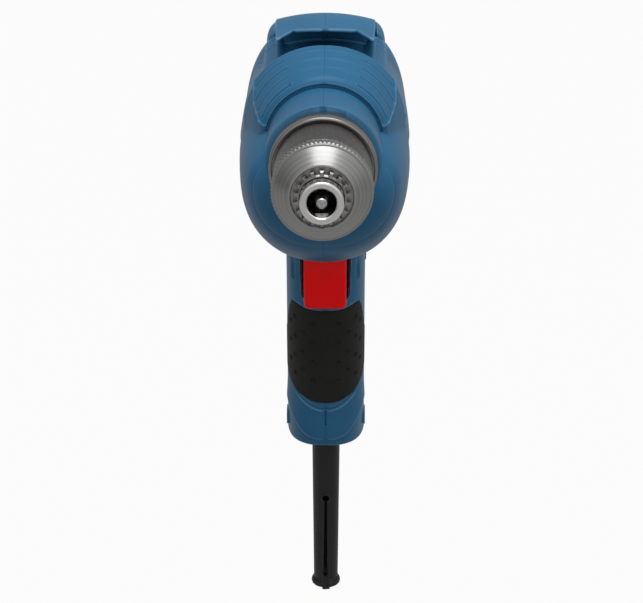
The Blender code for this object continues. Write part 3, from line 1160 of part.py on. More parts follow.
button_face = HANDLE_WIDTH / 2 + BUTTON_PROUD
flange_face = HANDLE_WIDTH / 2 - HANDLE_WALL - SEAT_GAP
form = [(flange_face - BUTTON_FLANGE, 0), (flange_face - BUTTON_FLANGE, flange_radius)]
form += [(flange_face, flange_radius), (flange_face, BUTTON_RADIUS)]
form += [(button_face - BUTTON_CHAMFER, BUTTON_RADIUS)]
form += [(button_face, BUTTON_RADIUS - BUTTON_CHAMFER), (button_face, 0)]
finish(turned("lock_button", form, button_axis, 14), DARK_PLASTIC, 0.4, 0.0, button_guide)
spring_reach = flange_face - BUTTON_FLANGE - BUTTON_INNER - 2 * SEAT_GAP
finish(spring("lock_spring", BUTTON_SPRING_RADIUS, BUTTON_SPRING_WIRE, spring_reach, BUTTON_SPRING_TURNS,
              frame((1, 0, 0), (BUTTON_INNER + SEAT_GAP, BUTTON_Y, -BUTTON_DROP))), STEEL, 0.3, 1.0)

# Reversing slider: a bar through both cheeks, waisted between its thumb ends
slider_back = SLIDER_FRONT + SLIDER_DEPTH
slider = block("reversing_slider", (-SLIDER_HALF_LENGTH, SLIDER_FRONT, -SLIDER_BOTTOM_DROP),
               (SLIDER_HALF_LENGTH, slider_back, -SLIDER_TOP_DROP))
waist_half = HANDLE_WIDTH / 2 - HANDLE_WALL - SLIDER_TRAVEL
cut(slider, block("waist", (-waist_half, slider_back - SLIDER_WAIST, -SLIDER_BOTTOM_DROP - CUT_MARGIN),
                  (waist_half, slider_back + CUT_MARGIN, -SLIDER_TOP_DROP + CUT_MARGIN)))
finish(slider, DARK_PLASTIC, 0.45, 0.0, slider_guide)

capacitor_front = SWITCH_FRONT + RUNNING_GAP
capacitor = block("capacitor",
                  (-CAPACITOR_WIDTH / 2, capacitor_front, -CAPACITOR_TOP_DROP - CAPACITOR_HEIGHT),
                  (CAPACITOR_WIDTH / 2, capacitor_front + CAPACITOR_DEPTH, -CAPACITOR_TOP_DROP))
finish(capacitor, AMBER, 0.4)

# Cord gland: clamp bar with two screws over the gland shelf, bend-protection sleeve below
clamp_top = -CLAMP_BOTTOM_DROP + CLAMP_HEIGHT
clamp = block("cord_clamp", (-CLAMP_LENGTH / 2, SLEEVE_Y - CLAMP_WIDTH / 2, -CLAMP_BOTTOM_DROP),
              (CLAMP_LENGTH / 2, SLEEVE_Y + CLAMP_WIDTH / 2, clamp_top))
gland_axis = frame((0, 0, 1), (0, SLEEVE_Y, 0))
cut(clamp, rod("cord_arch", SLEEVE_BORE, -CLAMP_BOTTOM_DROP - CUT_MARGIN, clamp_top + CUT_MARGIN,
               gland_axis, 12))
for number, side in ((1, -1), (2, 1)):
    place = frame((0, 0, 1), (side * CLAMP_SCREW_SPACING / 2, SLEEVE_Y, clamp_top + SEAT_GAP))
    hole_end = -CLAMP_SCREW_LENGTH - SEAT_GAP
    for drilled in (clamp, housing_left if side < 0 else housing_right):
        cut(drilled, rod("drilled", CLAMP_SCREW_RADIUS + SEAT_GAP, hole_end, CUT_MARGIN, place, 8))
    form = [(-CLAMP_SCREW_LENGTH, 0), (-CLAMP_SCREW_LENGTH, CLAMP_SCREW_RADIUS), (0, CLAMP_SCREW_RADIUS)]
    form += [(0, CLAMP_SCREW_HEAD), (CLAMP_SCREW_RADIUS, CLAMP_SCREW_HEAD), (CLAMP_SCREW_RADIUS, 0)]
    finish(turned("clamp_screw_%d" % number, form, place, 8), ZINC, 0.35, 1.0)
finish(clamp, DARK_PLASTIC, 0.5)

sleeve_end = -BASE_DROP - SLEEVE_LENGTH
flange_top = -GLAND_FLANGE_TOP
form = [(flange_top, SLEEVE_BORE), (flange_top, SLEEVE_FLANGE_RADIUS)]
form += [(flange_top - SLEEVE_FLANGE, SLEEVE_FLANGE_RADIUS), (flange_top - SLEEVE_FLANGE, SLEEVE_TOP_RADIUS)]
form += [(-BASE_DROP - SLEEVE_TOP_RADIUS, SLEEVE_TOP_RADIUS)]
form += [(sleeve_end + SLEEVE_END_FLANGE, SLEEVE_END_RADIUS)]
form += [(sleeve_end + SLEEVE_END_FLANGE, SLEEVE_END_FLANGE_RADIUS), (sleeve_end, SLEEVE_END_FLANGE_RADIUS)]
form += [(sleeve_end, SLEEVE_BORE)]
cord_sleeve = turned("cord_sleeve", form, gland_axis, 16)
hole_z = -BASE_DROP - SLEEVE_HOLE_DROP
sleeve_front = SLEEVE_Y - 2 * SLEEVE_TOP_RADIUS
cut(cord_sleeve, rod("keyhole", SLEEVE_HOLE_RADIUS, sleeve_front, SLEEVE_Y,
                     frame((0, 1, 0), (0, 0, hole_z)), 12))
cut(cord_sleeve, block("slit", (-SLEEVE_SLIT / 2, sleeve_front, sleeve_end + 2 * SLEEVE_END_FLANGE),
                       (SLEEVE_SLIT / 2, SLEEVE_Y, hole_z)))
finish(cord_sleeve, BLACK_RUBBER, 0.55)


def nut_bore(y):
    """Radius of the cone that just clears the outer side of the jaws."""
    return JAW_TIP_AXIS + JAW_SLOPE * (y - JAW_TIP_Y) + JAW_HEIGHT + SEAT_GAP


def jaw_axis(turn, y):
    """Point on a jaw's own axis, at a distance along the spindle."""
    radius = JAW_TIP_AXIS + JAW_SLOPE * (y - JAW_TIP_Y)
    return Vector((radius * math.cos(turn), y, radius * math.sin(turn)))


# Chuck body: collar, barrel and nose turned in one, with three inclined jaw bores
form = [(CHUCK_FRONT, CHUCK_BORE), (CHUCK_FRONT, CHUCK_NOSE_RADIUS - CHUCK_NOSE_CHAMFER)]
form += [(CHUCK_FRONT + CHUCK_NOSE_CHAMFER, CHUCK_NOSE_RADIUS), (NOSE_BACK, CHUCK_NOSE_RADIUS)]
form += [(NOSE_BACK, nut_bore(NOSE_BACK) - CONE_GAP), (BARREL_FRONT, nut_bore(BARREL_FRONT) - CONE_GAP)]
form += [(BARREL_FRONT, CHUCK_BARREL_RADIUS), (COLLAR_FRONT, CHUCK_BARREL_RADIUS)]
form += [(COLLAR_FRONT, CHUCK_COLLAR_RADIUS - CHUCK_COLLAR_CHAMFER)]
form += [(COLLAR_FRONT + CHUCK_COLLAR_CHAMFER, CHUCK_COLLAR_RADIUS)]
form += [(CHUCK_BACK - CHUCK_NOSE_CHAMFER, CHUCK_COLLAR_RADIUS)]
form += [(CHUCK_BACK, CHUCK_COLLAR_RADIUS - CHUCK_NOSE_CHAMFER)]
form += [(CHUCK_BACK, SPINDLE_THREAD_RADIUS + SEAT_GAP), (WEB_BACK, SPINDLE_THREAD_RADIUS + SEAT_GAP)]
form += [(WEB_BACK, CHUCK_SCREW_RADIUS + SEAT_GAP), (WEB_FRONT, CHUCK_SCREW_RADIUS + SEAT_GAP)]
form += [(WEB_FRONT, CHUCK_BORE)]
chuck_body = turned("chuck_body", form, SPINDLE, CHUCK_SIDES, CHUCK_PHASE)
jaw_turns = [math.radians(90 + 120 * i) for i in range(3)]
for turn in jaw_turns:
    heel = jaw_axis(turn, JAW_TIP_Y)
    run = (jaw_axis(turn, 0) - heel).normalized()
    place = frame(run, heel)
    bore_end = JAW_LENGTH + JAW_TRAVEL + RUNNING_GAP
    cut(chuck_body, rod("jaw_bore", JAW_RADIUS + SEAT_GAP, -JAW_BORE_LEAD, bore_end, place, 12))
    key_turn = turn + math.pi
    key_out = Vector((math.cos(key_turn), 0, math.sin(key_turn)))
    cut(chuck_body, rod("key_hole", KEY_HOLE_RADIUS, CHUCK_BORE - CUT_MARGIN, CHUCK_NOSE_RADIUS + CUT_MARGIN,
                        frame(key_out, (0, CHUCK_FRONT + KEY_HOLE_SETBACK, 0)), 8))
finish(chuck_body, STEEL, 0.3, 1.0, spindle_axis)

# Chuck sleeve: knurled shell with a toothed crown for the key
sleeve_bore = CHUCK_NOSE_RADIUS + SEAT_GAP
recess_floor = CHUCK_SLEEVE_FRONT + CROWN_RECESS
step_bore = nut_bore(CHUCK_SLEEVE_SHOULDER)
form = [(CHUCK_SLEEVE_BACK, CHUCK_SLEEVE_BORE), (CHUCK_SLEEVE_BACK, CHUCK_SLEEVE_RADIUS - RUNNING_GAP)]
form += [(CHUCK_SLEEVE_BACK - RUNNING_GAP, CHUCK_SLEEVE_RADIUS)]
form += [(KNURL_BACK + RUNNING_GAP, CHUCK_SLEEVE_RADIUS)]
form += [(KNURL_BACK, KNURL_RADIUS)]
form += [(CONE_BACK, KNURL_RADIUS)]
form += [(CONE_BACK - RUNNING_GAP, CONE_RADIUS), (CHUCK_SLEEVE_FRONT, CONE_FRONT_RADIUS)]
form += [(CHUCK_SLEEVE_FRONT, CONE_FRONT_RADIUS - CONE_RIM), (recess_floor, CONE_FRONT_RADIUS - CONE_RIM)]
form += [(recess_floor, sleeve_bore), (NOSE_BACK - SEAT_GAP, sleeve_bore), (NOSE_BACK - SEAT_GAP, step_bore)]
form += [(CHUCK_SLEEVE_SHOULDER, step_bore), (CHUCK_SLEEVE_SHOULDER, CHUCK_SLEEVE_BORE)]
chuck_sleeve = turned("chuck_sleeve", form, SPINDLE, CHUCK_SIDES, CHUCK_PHASE)
crown = toothed(KEY_TEETH, KEY_TOOTH_RADIUS - KEY_TOOTH_DEPTH, KEY_TOOTH_RADIUS, KEY_TOOTH_ROOT_HALF,
                KEY_TOOTH_TIP_HALF, 0)
teeth = prism("teeth", crown, recess_floor - KEY_TOOTH_HEIGHT, recess_floor + WELD / 2, SPINDLE)
cut(teeth, rod("core", sleeve_bore, recess_floor - KEY_TOOTH_HEIGHT - CUT_MARGIN, recess_floor + CUT_MARGIN,
               SPINDLE, CHUCK_SIDES, CHUCK_PHASE))
join(chuck_sleeve, teeth)
finish(chuck_sleeve, STEEL, 0.28, 1.0, spindle_axis)

form = [(NUT_BACK, nut_bore(NUT_BACK)), (NUT_BACK, CHUCK_SLEEVE_BORE - SEAT_GAP)]
form += [(NUT_FRONT, CHUCK_SLEEVE_BORE - SEAT_GAP), (NUT_FRONT, nut_bore(NUT_FRONT))]
finish(turned("chuck_nut", form, SPINDLE, CHUCK_SIDES, CHUCK_PHASE), DARK_STEEL, 0.4, 1.0, spindle_axis)

# Jaws: inclined rods faced to a 120 degree wedge and turned down at the tip
for number, turn in enumerate(jaw_turns, 1):
    heel = jaw_axis(turn, JAW_TIP_Y)
    run = (jaw_axis(turn, 0) - heel).normalized()
    jaw = rod("chuck_jaw_%d" % number, JAW_RADIUS, -JAW_RADIUS, JAW_LENGTH, frame(run, heel), 12)
    outward = Vector((math.cos(turn), math.sin(turn)))
    across = Vector((-math.sin(turn), math.cos(turn)))
    apex = outward * (SEAT_GAP / 2 / math.sin(math.radians(60)))
    far = [apex + (outward * math.cos(a) + across * math.sin(a)) * 2 * CHUCK_COLLAR_RADIUS for a in
           (math.radians(-60), math.radians(0), math.radians(60))]
    wedge = [(-p.x, p.y) for p in [apex] + far]
    keep(jaw, prism("wedge", wedge, JAW_TIP_Y, COLLAR_LENGTH, SPINDLE))
    flare_end = JAW_TIP_Y + JAW_TIP_CHAMFER + JAW_FLARE_LENGTH
    limit = [(JAW_TIP_Y - CUT_MARGIN, 0), (JAW_TIP_Y - CUT_MARGIN, JAW_TIP_RADIUS)]
    limit += [(JAW_TIP_Y, JAW_TIP_RADIUS)]
    limit += [(JAW_TIP_Y + JAW_TIP_CHAMFER, JAW_TIP_RADIUS + JAW_TIP_CHAMFER)]
    limit += [(flare_end, JAW_TIP_RADIUS + JAW_TIP_CHAMFER + JAW_FLARE_LENGTH * math.tan(JAW_TIP_FLARE))]
    limit += [(COLLAR_LENGTH, 2 * CHUCK_COLLAR_RADIUS), (COLLAR_LENGTH, 0)]
    keep(jaw, turned("limit", limit, SPINDLE, 18))
    finish(jaw, STEEL, 0.25, 1.0, axis_empty("jaw_axis_%d" % number, heel))

screw_head = WEB_FRONT - SEAT_GAP
form = [(screw_head - CHUCK_SCREW_HEAD, 0), (screw_head - CHUCK_SCREW_HEAD, CHUCK_SCREW_HEAD_RADIUS)]
form += [(screw_head, CHUCK_SCREW_HEAD_RADIUS), (screw_head, CHUCK_SCREW_RADIUS)]
form += [(SPINDLE_FRONT + CHUCK_SCREW_LENGTH, CHUCK_SCREW_RADIUS), (SPINDLE_FRONT + CHUCK_SCREW_LENGTH, 0)]
finish(turned("chuck_screw", form, SPINDLE, 12), DARK_STEEL, 0.4, 1.0, spindle_axis)
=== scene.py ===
import math

import bmesh
import bpy
from mathutils import Matrix, Vector


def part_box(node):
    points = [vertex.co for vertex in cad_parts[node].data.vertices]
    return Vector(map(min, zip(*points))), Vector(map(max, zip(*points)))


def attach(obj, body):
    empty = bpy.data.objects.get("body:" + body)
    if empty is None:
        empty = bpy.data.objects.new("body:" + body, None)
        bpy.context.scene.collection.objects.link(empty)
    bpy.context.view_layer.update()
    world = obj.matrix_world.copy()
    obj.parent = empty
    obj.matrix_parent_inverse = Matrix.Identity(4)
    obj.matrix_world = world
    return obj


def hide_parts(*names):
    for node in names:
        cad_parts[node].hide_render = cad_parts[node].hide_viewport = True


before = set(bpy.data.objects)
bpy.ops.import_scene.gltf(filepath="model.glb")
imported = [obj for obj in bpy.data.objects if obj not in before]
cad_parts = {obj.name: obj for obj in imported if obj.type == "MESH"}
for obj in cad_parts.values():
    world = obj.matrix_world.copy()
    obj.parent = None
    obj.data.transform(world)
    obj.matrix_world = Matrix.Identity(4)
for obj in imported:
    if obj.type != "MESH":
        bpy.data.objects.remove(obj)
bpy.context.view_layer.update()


# Camera: a long lens in front of the chuck, 21 degrees above it and a touch to its right,
# so that the drill is seen nearly along its spindle with the handle hanging below.
camera_lens = bpy.data.cameras.new("camera")
camera_lens.lens = 107.55
camera_lens.sensor_width = 36.0
camera = bpy.data.objects.new("camera", camera_lens)
camera.location = (0.00733, -0.671630, 0.203574)
camera.rotation_euler = (math.radians(69), 0, math.radians(0.68))
bpy.context.collection.objects.link(camera)
bpy.context.scene.camera = camera
bpy.context.scene.view_settings.view_transform = "Standard"


# Studio: a pale sweep well below and behind the drill, a softbox overhead, and a sky that is bright
# above and in front, dim below and a little brighter to the right, so that the belly is in shade.
floor_height = -0.50
floor_reach = 5.0
sweep_start = 2.6
sweep_radius = 1.6
sweep_steps = 24
paper_grey = 0.25
paper_rough = 0.9
paper_white = 0.84
paper_far_white = 0.96
paper_far_start = 0.55
paper_mirrored = 0.40
sky_top = 0.78
sky_top_stop = 0.95
sky_side = 0.43
sky_side_stop = 0.55
sky_floor = 0.07
sky_floor_stop = 0.30
sky_lean = 0.30
sky_front = -0.80
wall_white = 0.97
softbox_size = 0.7
softbox_place = (0.05, -0.12, 0.95)
softbox_power = 5.2

rows = [(-floor_reach, floor_height), (sweep_start, floor_height)]
for i in range(1, sweep_steps + 1):
    turn = math.pi / 2 * i / sweep_steps
    rise = sweep_radius * (1 - math.cos(turn))
    rows.append((sweep_start + sweep_radius * math.sin(turn), floor_height + rise))
rows.append((sweep_start + sweep_radius, floor_reach))
points = [(side * floor_reach, y, z) for y, z in rows for side in (-1, 1)]
faces = [(2 * i, 2 * i + 1, 2 * i + 3, 2 * i + 2) for i in range(len(rows) - 1)]
sheet = bpy.data.meshes.new("studio_floor")
sheet.from_pydata(points, [], faces)
sheet.shade_smooth()
studio_floor = bpy.data.objects.new("studio_floor", sheet)
bpy.context.collection.objects.link(studio_floor)


def grey(value):
    return (value, value, value)


def place_outputs(tree, kind="Object"):
    """The X, Y and Z of the place on a piece, or of a direction in the sky."""
    place = tree.nodes.new("ShaderNodeTexCoord")
    split = tree.nodes.new("ShaderNodeSeparateXYZ")
    tree.links.new(place.outputs[kind], split.inputs[0])
    return split.outputs


def worked_out(tree, operation, *sources):
    """Arithmetic on plain numbers and on the outputs of other nodes."""
    sums = tree.nodes.new("ShaderNodeMath")
    sums.operation = operation
    for socket, source in zip(sums.inputs, sources):
        if isinstance(source, bpy.types.NodeSocket):
            tree.links.new(source, socket)
        else:
            socket.default_value = source
    return sums.outputs[0]


def graded(tree, source, start, end, low=0.0, high=1.0, blend="LINEAR"):
    """A value carried from the range start to end into the range low to high."""
    grade = tree.nodes.new("ShaderNodeMapRange")
    grade.interpolation_type = blend
    grade.inputs["From Min"].default_value = start
    grade.inputs["From Max"].default_value = end
    grade.inputs["To Min"].default_value = low
    grade.inputs["To Max"].default_value = high
    tree.links.new(source, grade.inputs["Value"])
    return grade.outputs["Result"]


def tinted(tree, source, *stops):
    """Colours spread along a value, from stops of a position and a colour."""
    ramp = tree.nodes.new("ShaderNodeValToRGB")
    elements = ramp.color_ramp.elements
    for i, (position, colour) in enumerate((stops[0], stops[-1])):
        elements[i].position = position
        elements[i].color = (*colour, 1)
    for position, colour in stops[1:-1]:
        elements.new(position).color = (*colour, 1)
    tree.links.new(source, ramp.inputs["Fac"])
    return ramp.outputs["Color"]


def overlaid(tree, share, first, second, output):
    """Show a share of the second shader over the first one."""
    mix = tree.nodes.new("ShaderNodeMixShader")
    for socket, source in zip(mix.inputs, (share, first.outputs[0], second.outputs[0])):
        tree.links.new(source, socket)
    tree.links.new(mix.outputs[0], tree.nodes[output].inputs["Surface"])


paper = bpy.data.materials.new("paper_sweep")
paper.use_nodes = True
tree = paper.node_tree
paper_coat = tree.nodes["Principled BSDF"]
paper_coat.inputs["Base Color"].default_value = (*grey(paper_grey), 1)
paper_coat.inputs["Roughness"].default_value = paper_rough
paper_coat.inputs["Specular IOR Level"].default_value = 0.0
glow = tree.nodes.new("ShaderNodeEmission")
rays = tree.nodes.new("ShaderNodeLightPath").outputs
mirrored = worked_out(tree, "MAXIMUM", rays["Is Glossy Ray"], rays["Is Transmission Ray"])
mirrored_share = worked_out(tree, "MULTIPLY", mirrored, paper_mirrored)
depth = place_outputs(tree)["Y"]
behind = graded(tree, depth, 0.0, paper_far_start, high=paper_far_white, blend="SMOOTHSTEP")
pale = worked_out(tree, "MAXIMUM", behind, paper_white)
seen_share = worked_out(tree, "MULTIPLY", rays["Is Camera Ray"], pale)
share = worked_out(tree, "MAXIMUM", seen_share, mirrored_share)
overlaid(tree, share, paper_coat, glow, "Material Output")
sheet.materials.append(paper)

sky = bpy.data.worlds.new("studio_sky")
sky.use_nodes = True
tree = sky.node_tree
sky_light = tree.nodes["Background"]
toward = place_outputs(tree, "Generated")
height = graded(tree, toward["Z"], -1.0, 1.0)
shades = tinted(tree, height, (sky_floor_stop, grey(sky_floor)), (sky_side_stop, grey(sky_side)),
                (sky_top_stop, grey(sky_top)))
tree.links.new(shades, sky_light.inputs["Color"])
brighter_right = worked_out(tree, "MULTIPLY_ADD", toward["X"], sky_lean, 1.0)
brighter_front = worked_out(tree, "MULTIPLY_ADD", toward["Y"], sky_front, brighter_right)
tree.links.new(brighter_front, sky_light.inputs["Strength"])
white_wall = tree.nodes.new("ShaderNodeBackground")
white_wall.inputs["Color"].default_value = (*grey(wall_white), 1)
rays = tree.nodes.new("ShaderNodeLightPath").outputs
overlaid(tree, rays["Is Camera Ray"], sky_light, white_wall, "World Output")
bpy.context.scene.world = sky

softbox = bpy.data.lights.new("softbox", "AREA")
softbox.shape = "SQUARE"
softbox.size = softbox_size
softbox.energy = softbox_power
lamp = bpy.data.objects.new("softbox", softbox)
lamp.location = softbox_place
bpy.context.collection.objects.link(lamp)


# Housing: two glass-filled nylon halves, injection moulded in blue with a fine spark texture and
# screwed together on the centre plane. Collar, ridged gear hood, belt hook with its saddle, body
# and handle are one moulding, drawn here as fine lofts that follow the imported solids.
body_length = 0.148
body_half_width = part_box("housing_right")[1].x
body_keel = 0.0526
body_crown = 0.0305
body_waist = 0.015
keel_power = 2.15
body_sides = 400
# Stations: share of the length, then of half width, crown, keel and waist, and the upper power.
body_stations = (
    (0.0135, 0.535, -0.066, 0.385, 0.80, 2.0),
    (0.054, 0.732, 0.098, 0.635, 0.87, 2.0),
    (0.108, 0.859, 0.230, 0.798, 0.93, 2.0),
    (0.189, 0.935, 0.360, 0.923, 1.00, 2.1),
    (0.284, 0.969, 0.525, 0.971, 1.00, 2.2),
    (0.351, 0.985, 0.680, 0.990, 1.00, 2.3),
    (0.419, 0.996, 0.770, 1.000, 1.00, 2.4),
    (0.541, 1.000, 0.800, 1.000, 1.00, 2.4),
    (0.622, 0.995, 0.836, 1.000, 1.00, 2.4),
    (0.709, 0.970, 0.905, 0.990, 0.95, 2.7),
    (0.855, 0.895, 0.780, 0.940, 0.82, 2.6),
    (0.953, 0.740, 0.540, 0.808, 0.74, 2.4),
    (1.000, 0.487, 0.220, 0.577, 0.67, 2.2),
)
tail_shrinks = (0.93, 0.80, 0.60, 0.35)
collar_radius = 0.0215
collar_length = 0.0246
collar_edge = 0.0008
collar_rear_edge = 0.0004
collar_rear_run = 0.00048
collar_groove_floor = 0.0199
hood_front = 0.0256
hood_shoulder = 0.0030
hood_start_radius = 0.0239
hood_start = 0.0236
hood_slope = 0.32
hood_end = 0.0486
hood_rear = 0.0516
hood_rear_fall = 0.003
hood_power = 2.10
hood_fillet = 0.0006
hood_rounds = 3
lip_foot = 0.0075
lip_foot_place = 0.030
lip_slope = 0.37
lip_bend = 0.040
lip_steeper = 0.36
lip_step = 0.0013
lip_step_run = 0.0008
lip_fade = 0.62
lip_fade_run = (0.024, 0.038)
lip_bead = 0.0005
lip_bead_place = 0.0003
lip_bead_half = 0.0008
ridge_lips = ((0.0285, 0.0), (0.0340, 0.25), (0.0397, 0.25), (0.0453, 0.25))
ridge_width = 0.0012
ridge_depth = 0.0011
ridge_foot = (0.0006, 0.0022)
ridge_break = math.radians(30)
ridge_blend = 0.02
line_half_width = 0.0006
ring_line_depth = 0.0002
ring_line_place = 0.0105
ring_line_fade = (0.006, 0.0)
deck_line_depth = 0.0005
deck_line_places = (0.0820, 0.0862)
deck_line_sides = (0.0180, 0.0255)
deck_line_blend = 0.0010
deck_line_fade = (0.010, 0.012)
panel_depth = 0.0009
panel_ends = (0.0500, 0.1130)
panel_heights = (-0.0310, -0.0070)
panel_blend = 0.0012
panel_rib_share = 0.9
panel_rib_height = -0.020
panel_rib_half = 0.0022
ramp_rise = 0.0065
ramp_start = 0.058
ramp_run = 0.030
ramp_end = (0.0925, 0.0915)
ramp_inner = (0.0145, 0.0202)
ramp_outer = (0.0262, 0.0236)
ramp_foot = (0.005, 0.008)


def ease(value, start, end):
    """Smooth share from 0 at start to 1 at end."""
    share = min(max((value - start) / (end - start), 0.0), 1.0)
    return share * share * (3 - 2 * share)


def within(value, low, high, blend):
    """Smooth share of 1 between two limits, fading to 0 at each of them."""
    return ease(value, low, low + blend) * ease(value, high, high - blend)


def hump(value, middle, half_width):
    """A rounded rise of one, as wide as given, about a middle."""
    return max(1 - ((value - middle) / half_width) ** 2, 0.0)


def slope_at(run, rise, i):
    """Slope of a monotone cubic at one of its stations."""
    steps = [(rise[k + 1] - rise[k]) / (run[k + 1] - run[k]) for k in range(len(run) - 1)]
    if i == 0:
        return steps[0]
    if i == len(run) - 1:
        return steps[-1]
    if steps[i - 1] * steps[i] <= 0:
        return 0.0
    return 2 * steps[i - 1] * steps[i] / (steps[i - 1] + steps[i])


def flowing(stations, along):
    """The values between loft stations, on a monotone cubic that keeps the skin fair."""
    run = [station[0] for station in stations]
    along = min(max(along, run[0]), run[-1])
    i = max(k for k in range(len(run) - 1) if run[k] <= along)
    span = run[i + 1] - run[i]
    t = (along - run[i]) / span
    values = []
    for column in range(1, len(stations[0])):
        rise = [station[column] for station in stations]
        near = slope_at(run, rise, i) * span
        far = slope_at(run, rise, i + 1) * span
        values.append(rise[i] * (1 + 2 * t) * (1 - t) ** 2 + near * t * (1 - t) ** 2
                      + rise[i + 1] * t * t * (3 - 2 * t) + far * t * t * (t - 1))
    return values


def larger(first, second, blend):
    """The larger of two radii, with a fillet where they cross."""
    near = max(blend - abs(first - second), 0.0) / blend
    return max(first, second) + near * near * blend / 4


def levels(*stops):
    """Heights or distances between stops, each stretch with its own spacing."""
    places = [stops[0][0]]
    for (near, spacing), (far, _) in zip(stops, stops[1:]):
        count = max(int(round(abs(far - near) / spacing)), 1)
        places += [near + (far - near) * i / count for i in range(1, count + 1)]
    return places


def solid(name, points, faces):
    """A closed mesh object from points and faces, with its faces turned outwards."""
    mesh = bpy.data.meshes.new(name)
    mesh.from_pydata(points, [], faces)
    bm = bmesh.new()
    bm.from_mesh(mesh)
    bmesh.ops.recalc_face_normals(bm, faces=bm.faces)
    bm.to_mesh(mesh)
    bm.free()
    piece = bpy.data.objects.new(name, mesh)
    bpy.context.collection.objects.link(piece)
    return piece


def lofted(name, rows):
    """A closed skin over rows of equal point counts, capped at both ends."""
    count = len(rows[0])
    faces = []
    for i in range(len(rows) - 1):
        for j in range(count):
            k = (j + 1) % count
            faces.append((i * count + j, i * count + k, (i + 1) * count + k, (i + 1) * count + j))
    faces.append(tuple(range(count)))
    faces.append(tuple(range((len(rows) - 1) * count, len(rows) * count)))
    return solid(name, [point for row in rows for point in row], faces)


def shaped(piece, tool, operation):
    """Join, cut or trim a piece with a tool, and take the tool away."""
    change = piece.modifiers.new("shape", "BOOLEAN")
    change.operation = operation
    change.solver = "MANIFOLD"
    change.object = tool
    bpy.context.view_layer.update()
    graph = bpy.context.evaluated_depsgraph_get()
    mesh = bpy.data.meshes.new_from_object(piece.evaluated_get(graph))
    piece.modifiers.clear()
    piece.data = mesh
    bpy.data.objects.remove(tool)
    return piece


def joined(piece, *tools):
    for tool in tools:
        shaped(piece, tool, "UNION")
    return piece


def cut(piece, *tools):
    for tool in tools:
        shaped(piece, tool, "DIFFERENCE")
    return piece


def lip_height(y):
    """Height of the lip along the foot of the hood, rising to the rear."""
    return lip_foot + lip_slope * (y - lip_foot_place) + lip_steeper * max(y - lip_bend, 0.0)


def nose_radius(y, lean):
    """Radius of the collar and hood about the spindle, at an angle from straight up."""
    if y <= collar_edge:
        return collar_radius - collar_edge + math.sqrt(max(collar_edge ** 2 - (collar_edge - y) ** 2, 0.0))
    if y <= collar_length:
        return collar_radius - collar_rear_edge * ease(y, collar_length - collar_rear_run, collar_length)
    if y <= hood_front:
        return collar_groove_floor
    if y >= hood_rear:
        return 0.0
    radius = hood_start_radius + hood_slope * (min(y, hood_end) - hood_start)
    if y < hood_front + hood_shoulder:
        short = 1 - (y - hood_front) / hood_shoulder
        radius -= hood_shoulder * (1 - math.sqrt(max(1 - short * short, 0.0)))
    if y > hood_end:
        radius -= hood_rear_fall * ((y - hood_end) / hood_rear_fall) ** 2
    along = (y - collar_length) / (hood_end - collar_length)
    power = 2 + (hood_power - 2) * min(max(along, 0.0), 1.0)
    radius *= (abs(math.sin(lean)) ** power + abs(math.cos(lean)) ** power) ** (-1 / power)
    over_lip = radius * math.cos(lean) - lip_height(y)
    aside = ease(abs(lean), ridge_break - ridge_blend, ridge_break + ridge_blend)
    for lip, central in ridge_lips:
        if lip - ridge_width < y < lip:
            deep = ridge_depth * (central + (1 - central) * aside)
            radius -= deep * ((y - lip + ridge_width) / ridge_width) * ease(over_lip, *ridge_foot)
    step = lip_step * (1 - lip_fade * ease(y, *lip_fade_run))
    bead = lip_bead * hump(over_lip, lip_bead_place, lip_bead_half)
    return radius - step * ease(over_lip, 0.0, -lip_step_run) + bead


def nose_reach(radius, middle, across, up):
    """How far a circle about the spindle lies from the body's middle, in one direction."""
    return -up * middle + math.sqrt(max(radius * radius - (middle * across) ** 2, 0.0))


def drawn_in(x, y, z):
    """How far the moulded lines and the side panel lie under the body's skin."""
    ring_line = ring_line_depth * hump(y, ring_line_place, line_half_width) * ease(z, *ring_line_fade)
    deck_lines = deck_line_depth * sum(hump(y, place, line_half_width) for place in deck_line_places)
    deck_lines *= ease(z, *deck_line_fade) * within(abs(x), *deck_line_sides, deck_line_blend)
    panel = panel_depth * within(y, *panel_ends, panel_blend) * within(z, *panel_heights, panel_blend)
    panel *= 1 - panel_rib_share * hump(z, panel_rib_height, panel_rib_half)
    return ring_line + deck_lines + panel


def deck_ramp(x, y, z):
    """Rise of the two ramps on the deck that lead up to the saddle beside the hook."""
    ramp = ramp_rise * min(max((y - ramp_start) / ramp_run, 0.0), 1.0) * ease(y, *ramp_end)
    return ramp * ease(abs(x), *ramp_inner) * ease(abs(x), *ramp_outer) * ease(z, *ramp_foot)


def body_row(y, inset, count):
    """One section of the body with its collar and hood, drawn in by an inset."""
    wide, high, low, waist, power = flowing(body_stations, y / body_length)
    middle = -body_waist * waist
    half_width = body_half_width * wide - inset
    tall = body_crown * high - middle - inset
    deep = middle + body_keel * low - inset
    row = []
    for j in range(count):
        turn = 2 * math.pi * (j + 0.5) / count
        across = math.cos(turn)
        up = math.sin(turn)
        bend = power if up > 0 else keel_power
        rise = tall if up > 0 else deep
        reach = (abs(across / half_width) ** bend + abs(up / rise) ** bend) ** (-1 / bend)
        if y < body_stations[0][0] * body_length:
            reach = 0.0
        nose = nose_radius(y, 0.0) - inset
        if nose > 0:
            for _ in range(hood_rounds):
                out = nose_reach(nose, middle, across, up)
                nose = nose_radius(y, math.atan2(out * across, middle + out * up)) - inset
            reach = larger(reach, nose_reach(nose, middle, across, up), hood_fillet)
        x = reach * across
        z = middle + reach * up
        if inset == 0:
            sunk = drawn_in(x, y, z)
            ramp = deck_ramp(x, y, z)
            x -= sunk * across
            z += ramp - sunk * up
        row.append((x, y, z))
    return row


